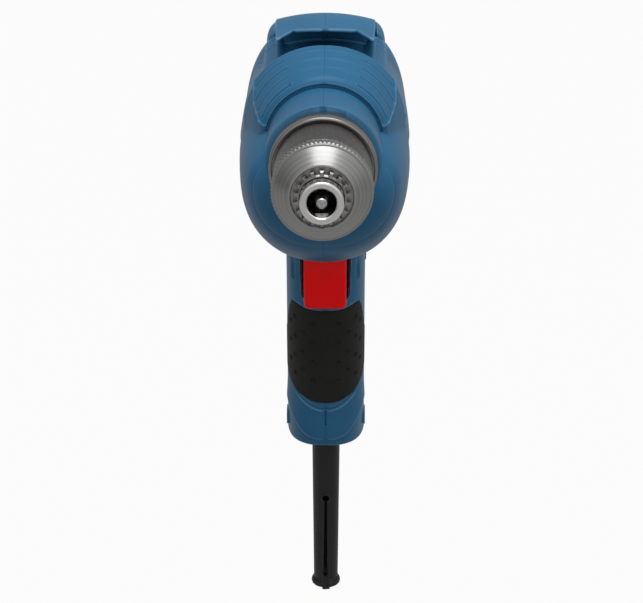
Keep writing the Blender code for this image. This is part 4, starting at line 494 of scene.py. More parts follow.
body_places = levels((0.0, 0.0001), (0.0010, 0.0010), (0.0020, 0.0004), (0.0110, 0.0006), (0.0238, 0.00015),
                     (0.0290, 0.00025), (0.0486, 0.00025), (0.05155, 0.00005), (0.05165, 0.0003),
                     (0.0625, 0.0012), (0.0805, 0.0002), (0.0875, 0.0012), (0.1115, 0.0003),
                     (0.1135, 0.0015), (0.1400, 0.0008), (body_length, 0.001))
body_rows = [body_row(y, 0.0, body_sides) for y in body_places]
tail = body_rows[-1]
tail_middle = sum(point[2] for point in tail) / len(tail)
for shrink in tail_shrinks:
    body_rows.append([(x * shrink, y, tail_middle + (z - tail_middle) * shrink) for x, y, z in tail])
housing = lofted("housing", body_rows)

handle_width = 0.0332
handle_depth = 0.045
handle_root = 0.100
handle_lean = 0.0192
handle_top = -0.040
handle_power = 2.5
handle_sides = 224
# Stations: share of the drop to the base, then of lean, depth and width.
handle_stations = (
    (0.250, 0.00, 1.067, 1.035),
    (0.350, 0.03, 1.044, 1.022),
    (0.440, 0.08, 1.000, 1.013),
    (0.560, 0.18, 1.000, 1.010),
    (0.690, 0.34, 1.000, 1.012),
    (0.810, 0.53, 0.967, 1.012),
    (0.885, 0.68, 0.970, 1.012),
    (0.935, 0.82, 1.005, 1.028),
    (0.985, 0.97, 1.020, 1.032),
    (1.000, 1.00, 1.005, 1.012),
)
base_drop = 0.160
base_edge = 0.0011
base_edge_start = -0.1587
base_half_depth = 0.022
neck_flare = 0.0020
neck_flare_start = -0.058
neck_flare_run = 0.010
shield_start = -0.118
shield_full = -0.124
shield_sides = (-0.05, -0.45)
shield_flare = 0.0010
shield_least = 0.004
crest_front = -0.1553
crest_rise = 0.0092
crest_reach = 0.0134
crest_power = 3.2
crease_front = -0.1394
crease_rise = 0.0060
crease_reach = 0.0115
crease_ends = (0.0140, 0.0110)
crease_depth = 0.0010
crease_half = 0.0007
above_crease = 0.0002
above_crease_run = 0.0008
skirt_step = 0.0003
skirt_step_run = 0.0009


def shield_swell(x, z):
    """How far the foot's shield and the crease above it stand out from the plain handle."""
    crest = crest_front + crest_rise * (abs(x) / crest_reach) ** crest_power
    crease = crease_front + crease_rise * (x / crease_reach) ** 2
    if z < crest:
        return shield_flare - (shield_flare + skirt_step) * ease(crest - z, 0.0, skirt_step_run)
    swell = shield_flare * max(1 - (z - crest) / max(crease - crest, shield_least), 0.0)
    groove = crease_depth * ease(abs(x), *crease_ends) * hump(z, crease, crease_half)
    return swell - groove - above_crease * ease(z, crease, crease + above_crease_run)


def handle_row(z, proud, count):
    """One level section of the handle, with the foot's shield and crease on its front."""
    lean, deep, wide = flowing(handle_stations, -z / base_drop)
    centre = handle_root + handle_lean * lean
    flare = neck_flare * max((z - neck_flare_start) / neck_flare_run, 0.0) ** 2 if proud == 0 else 0.0
    half_depth = handle_depth / 2 * deep + proud + flare
    half_width = handle_width / 2 * wide + proud + flare
    row = []
    for j in range(count):
        turn = 2 * math.pi * (j + 0.5) / count
        across = math.copysign(abs(math.cos(turn)) ** (2 / handle_power), math.cos(turn))
        back = math.copysign(abs(math.sin(turn)) ** (2 / handle_power), math.sin(turn))
        x = half_width * across
        y = centre + half_depth * back
        if proud == 0 and z < shield_start:
            swell = shield_swell(x, z) * ease(back, *shield_sides) * ease(z, shield_start, shield_full)
            x += swell * across
            y += swell * back
        row.append((x, y, z))
    return row


base_centre = handle_root + handle_lean
handle_places = levels((handle_top, 0.0011), (shield_start, 0.0004), (-0.1585, 0.0003), (-base_drop, 0.001))
handle_rows = []
for z in handle_places:
    edge = base_edge * (1 - math.sqrt(max(1 - ease(z, base_edge_start, -base_drop) ** 2, 0.0)))
    narrower = 1 - edge / (handle_width / 2)
    shallower = edge / base_half_depth
    handle_rows.append([(x * narrower, y - (y - base_centre) * shallower, z)
                        for x, y, z in handle_row(z, 0.0, handle_sides)])
joined(housing, lofted("handle", handle_rows))

hook_half_width = 0.0194
hook_arch_radius = 0.068
hook_thickness = 0.0027
hook_lip_thickness = 0.0013
hook_full = 0.085
hook_tip = 0.059
hook_lip = 0.0625
hook_lip_bow = 0.0022
hook_lip_half_width = 0.0125
hook_mouth_half_width = 0.0184
hook_nose = 0.0006
hook_edge = 0.0006
hook_edge_step = 0.0002
hook_step = 0.0006
hook_heel = 0.105
hook_top = ((0.058, 0.0347), (0.065, 0.0356), (0.080, 0.0374), (0.0925, 0.0330), (hook_heel, 0.0280))
hook_foot = ((0.108, 0.0225), (0.0955, 0.0225), (0.0955, 0.0275))
hook_under = 0.0925
hook_taper = (0.056, 0.078)
hook_front_share = 0.985
hook_widening = 0.037
hook_top_steps = 40
hook_under_steps = 30
hook_nose_steps = 6


def hook_front(x):
    """Where the hook's front edge lies: a bowed lip between two forward tips."""
    across = abs(x) / hook_lip_half_width
    if across <= 1:
        return hook_lip + hook_lip_bow * across ** 2
    beyond = (abs(x) - hook_lip_half_width) / (hook_mouth_half_width - hook_lip_half_width)
    return hook_lip + hook_lip_bow + (hook_tip - hook_lip - hook_lip_bow) * min(beyond, 1.0)


def hook_column(x, shrink):
    """One fore-and-aft section of the belt hook, thin at its lip and thicker towards its root."""
    front = hook_front(x) + shrink
    sag = x * x / (2 * hook_arch_radius)
    column = []
    for i in range(hook_top_steps + 1):
        y = front + (hook_heel - front) * i / hook_top_steps
        column.append((x, y, flowing(hook_top, y)[0] - sag - shrink))
    column += [(x, y, z - sag) for y, z in hook_foot]
    for i in range(hook_under_steps + 1):
        y = hook_under + (front - hook_under) * i / hook_under_steps
        thick = hook_lip_thickness + (hook_thickness - hook_lip_thickness) * ease(y, hook_lip, hook_full)
        column.append((x, y, flowing(hook_top, y)[0] - sag - thick + shrink))
    half = hook_lip_thickness / 2 - shrink
    lip_middle = flowing(hook_top, front)[0] - sag - hook_lip_thickness / 2
    for i in range(1, hook_nose_steps):
        turn = math.pi * i / hook_nose_steps
        column.append((x, front - hook_nose * math.sin(turn), lip_middle - half * math.cos(turn)))
    return [(x * (hook_front_share + hook_widening * ease(y, *hook_taper)), y, z) for x, y, z in column]


hook_rows = [hook_column(-hook_half_width, hook_edge)]
hook_sides = levels((-hook_half_width + hook_edge_step, hook_edge_step),
                    (-hook_half_width + hook_edge, hook_step),
                    (hook_half_width - hook_edge, hook_edge_step),
                    (hook_half_width - hook_edge_step, hook_step))
for x in hook_sides:
    inside = min((hook_half_width - abs(x)) / hook_edge, 1.0)
    hook_rows.append(hook_column(x, hook_edge * (1 - math.sqrt(1 - (1 - inside) ** 2))))
hook_rows.append(hook_column(hook_half_width, hook_edge))

saddle_half_width = 0.0242
saddle_power = 5.0
saddle_base = 0.014
saddle_front = 0.090
saddle_length = 0.036
saddle_height = 0.0172
saddle_edge = 0.0008
saddle_sides = 72
# Stations: share of the length, then of half width and height.
saddle_stations = (
    (0.00, 0.970, 0.940),
    (0.20, 1.000, 1.000),
    (0.45, 0.980, 0.942),
    (0.72, 0.900, 0.779),
    (1.00, 0.720, 0.520),
)
saddle_rows = []
for place in levels((0.0, 0.00013), (saddle_edge, 0.0008), (saddle_length, 0.001)):
    wide, high = flowing(saddle_stations, place / saddle_length)
    short = max(1 - place / saddle_edge, 0.0)
    edge = saddle_edge * (1 - math.sqrt(1 - short * short))
    arch = []
    for j in range(saddle_sides + 1):
        turn = math.pi * j / saddle_sides
        across = math.copysign(abs(math.cos(turn)) ** (2 / saddle_power), math.cos(turn))
        up = abs(math.sin(turn)) ** (2 / saddle_power)
        arch.append(((saddle_half_width * wide - edge) * across, saddle_front + place,
                     saddle_base + (saddle_height * high - edge) * up))
    saddle_rows.append(arch)
saddle = lofted("saddle", saddle_rows)

root_half_width = 0.0188
root_top = (0.0850, 0.0352)
root_place = 0.0855
root_height = 0.0300
root_radius = 0.0045
root_start = 95
root_sweep = 175
root_steps = 20
root_foot = ((0.0862, 0.0200), (0.0920, 0.0200), (0.0920, 0.0312))
root_rows = []
for x in levels((-root_half_width, 0.0012), (root_half_width, 0.001)):
    outline = [root_top]
    for i in range(root_steps + 1):
        turn = math.radians(root_start - root_sweep * i / root_steps)
        outline.append((root_place + root_radius * math.cos(turn),
                        root_height + root_radius * math.sin(turn)))
    sag = x * x / (2 * hook_arch_radius)
    root_rows.append([(x, y, z - sag) for y, z in outline + list(root_foot)])
joined(housing, lofted("hook", hook_rows), saddle, lofted("hook_root", root_rows))


def placed(direction, origin=(0, 0, 0)):
    """Frame whose Z axis runs along a direction, with Y kept upright."""
    forward = Vector(direction).normalized()
    upright = Vector((0, 1, 0)) if abs(forward.z) > 0.99 else Vector((0, 0, 1))
    side = upright.cross(forward).normalized()
    return Matrix.Translation(origin) @ Matrix((side, forward.cross(side), forward)).transposed().to_4x4()


def turned(name, profile, place, sides):
    """Revolve a closed (distance along, radius) profile about a placed Z axis."""
    bm = bmesh.new()
    start = [bm.verts.new((radius, 0, along)) for along, radius in profile]
    edges = [bm.edges.new((start[i], start[(i + 1) % len(start)])) for i in range(len(start))]
    bmesh.ops.spin(bm, geom=start + edges, cent=(0, 0, 0), axis=(0, 0, 1), angle=2 * math.pi, steps=sides,
                   use_merge=True)
    bmesh.ops.remove_doubles(bm, verts=bm.verts, dist=1e-7)
    bmesh.ops.dissolve_degenerate(bm, edges=bm.edges, dist=1e-7)
    bmesh.ops.delete(bm, geom=[edge for edge in bm.edges if not edge.link_faces], context="EDGES")
    bmesh.ops.transform(bm, matrix=place, verts=bm.verts)
    bmesh.ops.recalc_face_normals(bm, faces=bm.faces)
    mesh = bpy.data.meshes.new(name)
    bm.to_mesh(mesh)
    bm.free()
    piece = bpy.data.objects.new(name, mesh)
    bpy.context.collection.objects.link(piece)
    return piece


def rod(name, radius, start, end, place, sides=40):
    return turned(name, [(start, 0), (start, radius), (end, radius), (end, 0)], place, sides)


def prism(name, outline, start, end, place):
    """Push a closed outline along a placed Z axis."""
    return lofted(name, [[place @ Vector((x, y, along)) for x, y in outline] for along in (start, end)])


def oblong(left, right, low, high):
    """Outline of a plain rectangle."""
    return [(left, low), (right, low), (right, high), (left, high)]


def round_box(half_wide, half_high, radius, steps=6):
    """Outline of a rectangle with rounded corners."""
    outline = []
    for quarter, (sx, sy) in enumerate(((1, 1), (-1, 1), (-1, -1), (1, -1))):
        for i in range(steps + 1):
            turn = math.pi / 2 * (quarter + i / steps)
            outline.append((sx * (half_wide - radius) + radius * math.cos(turn),
                            sy * (half_high - radius) + radius * math.sin(turn)))
    return outline


def quarter_turn(steps):
    """Angles of a rounded edge, from 0 to a quarter turn."""
    return [math.pi / 2 * i / steps for i in range(steps + 1)]


def copy_of(node):
    """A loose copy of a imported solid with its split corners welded, to cut with."""
    bm = bmesh.new()
    bm.from_mesh(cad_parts[node].data)
    bmesh.ops.remove_doubles(bm, verts=bm.verts, dist=1e-6)
    mesh = bpy.data.meshes.new(node)
    bm.to_mesh(mesh)
    bm.free()
    piece = bpy.data.objects.new(node + "_copy", mesh)
    bpy.context.collection.objects.link(piece)
    return piece


hook_slot = oblong(0.01955, 0.02055, 0.088, 0.100)
hook_slot_run = (0.024, 0.040)
for side in (-1, 1):
    outline = [(side * x, y) for x, y in hook_slot]
    cut(housing, prism("hook_slot", outline, *hook_slot_run, Matrix.Identity(4)))

shell_inset = 0.0013
hood_inset = 0.0045
hood_inset_start = 0.022
hood_inset_end = 0.0275
handle_inset = 0.003
void_sides = 96
handle_void_sides = 48
void_places = levels((0.0013, 0.002), (0.0205, 0.0004), (0.0290, 0.0015), (0.0500, 0.002), (0.1467, 0.001))
void_rows = []
for y in void_places:
    inset = hood_inset if hood_inset_start < y < hood_inset_end else shell_inset
    void_rows.append(body_row(y, inset, void_sides))
void = lofted("void", void_rows)
handle_void_places = levels((-0.041, 0.003), (-0.1585, 0.001))
handle_void_rows = [handle_row(z, -handle_inset, handle_void_sides) for z in handle_void_places]
joined(void, lofted("handle_void", handle_void_rows))
cut(void, copy_of("housing_left"), copy_of("housing_right"))
cut(housing, void)

spindle_line = placed((0, 1, 0))
bore_radius = 0.0095
bore_run = (-0.002, 0.003)
undercut_floor = 0.0202
undercut_top = 0.0227
undercut_rear = 0.0266
undercut_side = 0.03
undercut_foot = 0.004
undercut_run = (0.01, 0.03)
cut(housing, rod("nose_bore", bore_radius, *bore_run, spindle_line, sides=96))
undercut = [(collar_length, undercut_floor), (collar_length, undercut_top), (undercut_rear, undercut_top),
            (undercut_rear, undercut_floor)]
upper_half = oblong(-undercut_side, undercut_side, undercut_foot, undercut_side)
collar_gap = turned("collar_gap", undercut, spindle_line, sides=192)
shaped(collar_gap, prism("upper_half", upper_half, *undercut_run, spindle_line), "INTERSECT")
cut(housing, collar_gap)

vent_width = 0.0024
vent_height = 0.011
vent_corner = 0.0011
vent_pitch = 0.0044
vent_count = 3
vent_run = (0.024, 0.038)
vent_groups = ((0.053, 0.0105), (0.1165, 0.003))
vent_outline = round_box(vent_width / 2, vent_height / 2, vent_corner)
for start, top in vent_groups:
    for i in range(vent_count):
        middle = (0, start + vent_pitch * i + vent_width / 2, top - vent_height / 2)
        for side in (-1, 1):
            cut(housing, prism("vent", vent_outline, *vent_run, placed((side, 0, 0), middle)))

screw_tunnel_radius = 0.0033
screw_tunnel_run = (0.009, 0.040)
screw_tunnels = ((0.0530, 0.0165), (0.0900, 0.0155), (0.1255, 0.0140), (0.1220, -0.0440), (0.1205, -0.1020),
                 (0.1315, -0.1455))
# The foremost of the seven screws lies under a plain surface, so six tunnels are open.
for y, z in screw_tunnels:
    line = placed((-1, 0, 0), (0, y, z))
    cut(housing, rod("screw_tunnel", screw_tunnel_radius, *screw_tunnel_run, line))

trigger_low, trigger_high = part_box("trigger")
trigger_clearance = 0.0005
trigger_slot_corner = 0.0035
trigger_slot_stations = ((0.0740, 0.0146), (0.0845, 0.0096), (0.0965, 0.0092))
slot_half_high = (trigger_high.z - trigger_low.z) / 2 + trigger_clearance
slot_middle = (trigger_high.z + trigger_low.z) / 2
slot_rows = []
for y, half in trigger_slot_stations:
    outline = round_box(half, slot_half_high, trigger_slot_corner)
    slot_rows.append([(x, y, slot_middle + z) for x, z in outline])
cut(housing, lofted("trigger_slot", slot_rows))

slider_low, slider_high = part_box("reversing_slider")
slider_half_depth = (slider_high.y - slider_low.y) / 2
slider_half_height = (slider_high.z - slider_low.z) / 2
slider_middle = (0, (slider_low.y + slider_high.y) / 2, (slider_low.z + slider_high.z) / 2)
slider_play = 0.0005
slider_play_high = 0.00025
slider_slot_corner = 0.0008
slider_slot_reach = 0.036
slider_line = placed((1, 0, 0), slider_middle)
slider_slot = round_box(slider_half_depth + slider_play, slider_half_height + slider_play_high,
                        slider_slot_corner)
cut(housing, prism("slider_slot", slider_slot, -slider_slot_reach, slider_slot_reach, slider_line))

button_low, button_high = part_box("lock_button")
button_line = placed((1, 0, 0), (0, (button_low.y + button_high.y) / 2, (button_low.z + button_high.z) / 2))
button_hole_radius = 0.0045
button_hole_run = (0.0119, 0.030)
cut(housing, rod("button_hole", button_hole_radius, *button_hole_run, button_line))

sleeve_low, sleeve_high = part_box("cord_sleeve")
sleeve_axis_y = (sleeve_low.y + sleeve_high.y) / 2
sleeve_line = placed((0, 0, 1), (0, sleeve_axis_y, 0))
gland_hole_radius = 0.0067
gland_hole_run = (-0.163, -0.1555)
cut(housing, rod("gland_hole", gland_hole_radius, *gland_hole_run, sleeve_line, sides=64))


def handle_face(x, z, proud):
    """Point on the front of the handle at a width and a height, and the way it faces."""
    lean, deep, wide = flowing(handle_stations, -z / base_drop)
    half_depth = handle_depth / 2 * deep + proud
    half_width = handle_width / 2 * wide + proud
    back = (1 - abs(x / half_width) ** handle_power) ** (1 / handle_power)
    point = Vector((x, handle_root + handle_lean * lean - half_depth * back, z))
    facing = Vector((math.copysign(abs(x / half_width) ** (handle_power - 1), x) / half_width,
                     -back ** (handle_power - 1) / half_depth, 0.0))
    return point, facing.normalized()


neck_groove_radius = 0.0024
neck_groove_out = 0.0014
neck_groove_top = (0.0139, -0.055)
neck_groove_low = (0.0137, -0.0757)
for side in (-1, 1):
    start, facing = handle_face(side * neck_groove_top[0], neck_groove_top[1], 0.0)
    end = handle_face(side * neck_groove_low[0], neck_groove_low[1], 0.0)[0]
    run = end - start
    groove = [(0, 0), (0, neck_groove_radius)]
    for turn in quarter_turn(8)[:-1]:
        groove.append((run.length + neck_groove_radius * math.sin(turn), neck_groove_radius * math.cos(turn)))
    groove.append((run.length + neck_groove_radius, 0))
    cut(housing, turned("neck_groove", groove, placed(run, start + facing * neck_groove_out), sides=32))

shield_groove_radius = 0.0005
shield_groove_top = -0.1402
shield_groove_low = -0.1475
shield_groove_rise = 0.0004
start = handle_face(0, shield_groove_top, 0.0)[0]
run = handle_face(0, shield_groove_low, shield_groove_rise)[0] - start
cut(housing, rod("shield_groove", shield_groove_radius, 0, run.length, placed(run, start), sides=16))

lug_outline = round_box(0.0040, 0.0034, 0.0014)
lug_middle = (0, 0.1130, -0.1515)
lug_run = (0.012, 0.0174)
for side in (-1, 1):
    joined(housing, prism("side_lug", lug_outline, *lug_run, placed((side, 0, 0), lug_middle)))

pad_depth = 0.0022
pad_proud = 0.00015
pad_gap = 0.0003
pad_reach = 0.030
pad_path = (
    (0.0740, -0.0909), (0.0790, -0.0909), (0.0822, -0.0895), (0.0852, -0.0881), (0.0885, -0.0876),
    (0.0915, -0.0912), (0.0940, -0.0955), (0.0985, -0.1020), (0.1080, -0.1080), (0.1105, -0.1180),
    (0.1040, -0.1232), (0.0990, -0.1262), (0.0958, -0.1288), (0.0936, -0.1311), (0.0910, -0.1336),
    (0.0894, -0.1361), (0.0860, -0.1410), (0.0740, -0.1420),
)
pad_levels = levels((-0.080, 0.0015), (-0.158, 0.001))
sideways = Matrix(((0, 0, 1, 0), (1, 0, 0, 0), (0, 1, 0, 0), (0, 0, 0, 1)))


def pad_outline(grow):
    """Side outline of the pad, each point pushed out square to the edge by an allowance."""
    outline = []
    for i, (y, z) in enumerate(pad_path):
        before = Vector(pad_path[i - 1])
        after = Vector(pad_path[(i + 1) % len(pad_path)])
        run = (after - before).normalized()
        outline.append((y - run.y * grow, z + run.x * grow))
    return outline


def handle_core(proud, count=96):
    return lofted("handle_core", [handle_row(z, proud, count) for z in pad_levels])


pad_zone = prism("pad_zone", pad_outline(pad_gap), -pad_reach, pad_reach, sideways)
cut(pad_zone, handle_core(-pad_depth - pad_gap))
cut(housing, pad_zone)

nylon_dark = (0.021, 0.120, 0.238)
nylon_light = (0.026, 0.136, 0.268)
# Pale blue painted on the nylon's sharp edges is a painted edge highlight, kept off the split plane and the
# tail.
nylon_edge_highlight = (0.17, 0.36, 0.55)
edge_highlight_share = 0.60
edge_highlight_sharpness = (0.508, 0.55)
split_edge = (0.62, 0.70)
edge_highlight_off_seam = (0.0009, 0.0018)
edge_highlight_off_tail = (0.140, 0.134)
noise_low = 0.3
noise_high = 0.7


def new_finish(name):
    """A new material, with its node tree and its surface shader."""
    finish = bpy.data.materials.new(name)
    finish.use_nodes = True
    return finish, finish.node_tree, finish.node_tree.nodes["Principled BSDF"]


def speckle(tree, place, scale, detail):
    """Noise over a place, as a value from 0 to 1."""
    noise = tree.nodes.new("ShaderNodeTexNoise")
    noise.inputs["Scale"].default_value = scale
    noise.inputs["Detail"].default_value = detail
    tree.links.new(place, noise.inputs["Vector"])
    return noise.outputs["Fac"]


def relieved(tree, surface, height, strength, depth):
    """Fine relief on a surface."""
    bump = tree.nodes.new("ShaderNodeBump")
    bump.inputs["Strength"].default_value = strength
    bump.inputs["Distance"].default_value = depth
    tree.links.new(height, bump.inputs["Height"])
    tree.links.new(bump.outputs["Normal"], surface.inputs["Normal"])


def blue_nylon():
    """Satin blue nylon: fine spark texture, a little unevenness, and sharp edges painted paler as a painted
    highlight.
    """
    finish, tree, surface = new_finish("blue_nylon")
    place = tree.nodes.new("ShaderNodeTexCoord").outputs["Object"]
    cloud = speckle(tree, place, scale=60.0, detail=4.0)
    tint = tinted(tree, cloud, (noise_low, nylon_dark), (noise_high, nylon_light))
    # Painted highlight: where the mesh is sharp, the pale colour is mixed in over the nylon's own blue.
    sharpness = tree.nodes.new("ShaderNodeNewGeometry").outputs["Pointiness"]
    sharp_edge_highlight = graded(tree, sharpness, *edge_highlight_sharpness, high=edge_highlight_share)
    unsplit = graded(tree, sharpness, *split_edge, low=1.0, high=0.0)
    at = place_outputs(tree)
    off_seam = graded(tree, worked_out(tree, "ABSOLUTE", at["X"]), *edge_highlight_off_seam)
    off_tail = graded(tree, at["Y"], *edge_highlight_off_tail)
    free = worked_out(tree, "MULTIPLY", off_seam, off_tail)
    edge = worked_out(tree, "MULTIPLY", sharp_edge_highlight, unsplit)
    painted_edge_highlight = worked_out(tree, "MULTIPLY", edge, free)
    highlight_mix = tree.nodes.new("ShaderNodeMix")
    highlight_mix.data_type = "RGBA"
    highlight_mix.inputs["B"].default_value = (*nylon_edge_highlight, 1)
    tree.links.new(painted_edge_highlight, highlight_mix.inputs["Factor"])
    tree.links.new(tint, highlight_mix.inputs["A"])
    tree.links.new(highlight_mix.outputs["Result"], surface.inputs["Base Color"])
    grain = speckle(tree, place, scale=2600.0, detail=2.0)
    gloss = graded(tree, grain, noise_low, noise_high, low=0.30, high=0.40)
    tree.links.new(gloss, surface.inputs["Roughness"])
    relieved(tree, surface, grain, strength=0.22, depth=0.00006)
    surface.inputs["Specular IOR Level"].default_value = 0.16
    return finish


edge_angle = math.radians(32)


def dressed(piece, finish, body, node):
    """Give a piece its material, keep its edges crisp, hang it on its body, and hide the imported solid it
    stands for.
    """
    piece.data.materials.clear()
    piece.data.materials.append(finish)
    piece.data.shade_smooth()
    piece.data.set_sharp_from_angle(angle=edge_angle)
    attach(piece, body)
    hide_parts(node)


split_gap = 0.00003
split_reach = 0.10
split_ends = (-0.1, 0.3)
split_heights = (-0.3, 0.2)
housing_finish = blue_nylon()
for name, side in (("housing_left", -1), ("housing_right", 1)):
    half = bpy.data.objects.new(name + "_moulding", housing.data.copy())
    bpy.context.collection.objects.link(half)
    outline = oblong(side * split_gap, side * split_reach, *split_ends)
    shaped(half, prism("half_space", outline, *split_heights, Matrix.Identity(4)), "INTERSECT")
    dressed(half, housing_finish, "housing", name)
bpy.data.objects.remove(housing)


# Grip pad: black thermoplastic rubber, moulded apart and pressed into the recess in the front of
# the handle, with rows of small dimples for the fingers.
dimple_radius = 0.0016
dimple_sink = 0.0007
dimple_pitch = 0.0094
dimple_columns = ((0.0053, -0.0963, 4), (0.0096, -0.1010, 3), (0.0129, -0.0945, 4), (0.0148, -0.0972, 3))
pad = prism("grip_pad_rubber", pad_outline(0), -pad_reach, pad_reach, sideways)
shaped(pad, handle_core(pad_proud, count=128), "INTERSECT")
cut(pad, handle_core(-pad_depth))
dimples = bmesh.new()
for column, top, count in dimple_columns:
    for side in (-1, 1):
        for i in range(count):
            point, facing = handle_face(side * column, top - dimple_pitch * i, pad_proud)
            ball = Matrix.Translation(point + facing * (dimple_radius - dimple_sink))
            bmesh.ops.create_icosphere(dimples, subdivisions=3, radius=dimple_radius, matrix=ball)
dimple_mesh = bpy.data.meshes.new("dimples")
dimples.to_mesh(dimple_mesh)
dimples.free()
dimple_tool = bpy.data.objects.new("dimples", dimple_mesh)
bpy.context.collection.objects.link(dimple_tool)
cut(pad, dimple_tool)


def grained(name, dark, light, rough, grain_scale, grain_depth, specular, metallic=0.0):
    """A moulded, cast or plated finish: uneven colour, fine grain in gloss and relief."""
    finish, tree, surface = new_finish(name)
    place = tree.nodes.new("ShaderNodeTexCoord").outputs["Object"]
    cloud = speckle(tree, place, scale=140.0, detail=5.0)
    tint = tinted(tree, cloud, (noise_low, dark), (noise_high, light))
    tree.links.new(tint, surface.inputs["Base Color"])
    grain = speckle(tree, place, scale=grain_scale, detail=3.0)
    gloss = graded(tree, grain, noise_low, noise_high, low=rough - 0.06, high=rough + 0.06)
    tree.links.new(gloss, surface.inputs["Roughness"])
    relieved(tree, surface, grain, strength=0.3, depth=grain_depth)
    surface.inputs["Specular IOR Level"].default_value = specular
    surface.inputs["Metallic"].default_value = metallic
    return finish


black_rubber = grained("black_rubber", (0.0105, 0.0102, 0.0096), (0.0150, 0.0146, 0.0138), rough=0.60,
                       grain_scale=1900.0, grain_depth=0.00008, specular=0.18)
dressed(pad, black_rubber, "housing", "grip_pad")


# Trigger: red acetal finger trigger, moulded with a hollow front face, that slides straight back
# into the handle on a stem and is pushed out by a coil spring.
trigger_half_width = 0.0088
trigger_front = trigger_low.y
trigger_back = 0.090
trigger_top = trigger_high.z
trigger_foot_gap = 0.0004
trigger_bottom = trigger_low.z + trigger_foot_gap
trigger_hollow = 0.0026
trigger_corner = 0.0024
trigger_edge = 0.0012
trigger_rim = 0.0008
trigger_step = 0.0068
trigger_rear_top = -0.0634
stem_height = (trigger_rear_top + trigger_bottom) / 2
stem_radius = 0.0026
stem_foot = 0.009
stem_reach = 0.013
spring_pocket_radius = 0.00485
spring_pocket_depth = 0.008
slider_room_half_width = 0.02
slider_room_top = -0.05
slider_room_back = 0.100


def trigger_row(z, shrink):
    """One level section of the trigger, front edges rounded, lower corners drawn in."""
    share = (trigger_top - z) / (trigger_top - trigger_bottom)
    front = trigger_front + trigger_hollow * (2 * share - 1) ** 2 + shrink
    short = max(trigger_bottom + trigger_corner - z, 0.0)
    corner = trigger_corner - math.sqrt(max(trigger_corner ** 2 - short ** 2, 0.0))
    half = trigger_half_width - shrink - corner
    row = [(half, trigger_back, z), (-half, trigger_back, z)]
    for side in (-1, 1):
        arc = []
        for turn in quarter_turn(8):
            arc.append((side * (half - trigger_edge + trigger_edge * math.cos(turn)),
                        front + trigger_edge - trigger_edge * math.sin(turn), z))
        row += arc if side < 0 else arc[::-1]
    return row


trigger_rows = []
for z in levels((trigger_top, 0.0002), (trigger_top - trigger_rim, 0.0006),
                (trigger_bottom + trigger_corner, 0.0004), (trigger_bottom + 0.0004, 0.0001),
                (trigger_bottom, 0.001)):
    near_rim = max(z - trigger_top + trigger_rim, trigger_bottom + trigger_rim - z, 0.0)
    trigger_rows.append(trigger_row(z, trigger_rim - math.sqrt(max(trigger_rim ** 2 - near_rim ** 2, 0.0))))
trigger = lofted("trigger_moulding", trigger_rows)
slider_room = oblong(-slider_room_half_width, slider_room_half_width, trigger_rear_top, slider_room_top)
cut(trigger, prism("slider_room", slider_room, trigger_front + trigger_step, slider_room_back, spindle_line))
stem_line = placed((0, 1, 0), (0, 0, stem_height))
pocket_floor = trigger_back - spring_pocket_depth
cut(trigger, rod("spring_pocket", spring_pocket_radius, pocket_floor, trigger_back + 0.001, stem_line))
joined(trigger, rod("stem", stem_radius, trigger_back - stem_foot, trigger_back + stem_reach, stem_line))
red_acetal = grained("red_acetal", (0.94, 0.0045, 0.0055), (1.0, 0.0055, 0.0065), rough=0.36,
                     grain_scale=2200.0, grain_depth=0.00004, specular=0.14)
dressed(trigger, red_acetal, "trigger", "trigger")


# Reversing slider and lock button: dark moulded controls. The slider is a waisted bar pushed
# through both cheeks above the trigger; the button is pressed in to hold the trigger.
slider_edge = 0.0012
slider_corner = 0.0009
slider_least_corner = 0.0004
slider_waist = 0.0094
slider_waist_depth = 0.0012
slider_waist_clear = 0.002
thumb_groove_radius = 0.0004
thumb_groove_pitch = 0.0016
thumb_groove_out = 0.0001
thumb_groove_run = (0.08, 0.1)
slider_rows = []
for x in levels((slider_low.x, 0.0002), (slider_low.x + slider_edge, 0.002),
                (slider_high.x - slider_edge, 0.0002), (slider_high.x, 0.001)):
    near_end = max(abs(x) - slider_high.x + slider_edge, 0.0)
    shrink = slider_edge - math.sqrt(max(slider_edge ** 2 - near_end ** 2, 0.0))
    corner = max(slider_corner - shrink, slider_least_corner)
    outline = round_box(slider_half_depth - shrink, slider_half_height - shrink, corner)
    slider_rows.append([(x, slider_middle[1] + y, slider_middle[2] + z) for y, z in outline])
slider = lofted("reversing_slider_bar", slider_rows)
waist = oblong(-slider_waist, slider_waist, slider_high.y - slider_waist_depth,
               slider_high.y + slider_waist_clear)
waist_foot = slider_low.z - slider_waist_clear
waist_top = slider_high.z + slider_waist_clear
cut(slider, prism("waist", waist, waist_foot, waist_top, Matrix.Identity(4)))
for side in (-1, 1):
    for i in (-1, 0, 1):
        middle = (side * (slider_high.x + thumb_groove_out), 0, slider_middle[2] + thumb_groove_pitch * i)
        line = placed((0, 1, 0), middle)
        cut(slider, rod("thumb_groove", thumb_groove_radius, *thumb_groove_run, line, sides=12))
dark_nylon = grained("dark_nylon", (0.014, 0.012, 0.011), (0.021, 0.018, 0.016), rough=0.45,
                     grain_scale=2200.0, grain_depth=0.00005, specular=0.35)
dressed(slider, dark_nylon, "reversing_slider", "reversing_slider")

button_radius = 0.0042
button_flange = 0.0051
button_flange_face = 0.0121
button_face = button_high.x
button_edge = 0.0008
button_dish = (0.0003, 0.0004)
button_dish_radius = 0.0016
button_profile = [(button_low.x, 0), (button_low.x, button_flange), (button_flange_face, button_flange),
                  (button_flange_face, button_radius)]
for turn in quarter_turn(6):
    button_profile.append((button_face - button_edge + button_edge * math.sin(turn),
                           button_radius - button_edge + button_edge * math.cos(turn)))
button_profile += [(button_face - button_dish[0], button_dish_radius), (button_face - button_dish[1], 0)]
button = turned("lock_button_cap", button_profile, button_line, sides=48)
dressed(button, dark_nylon, "lock_button", "lock_button")


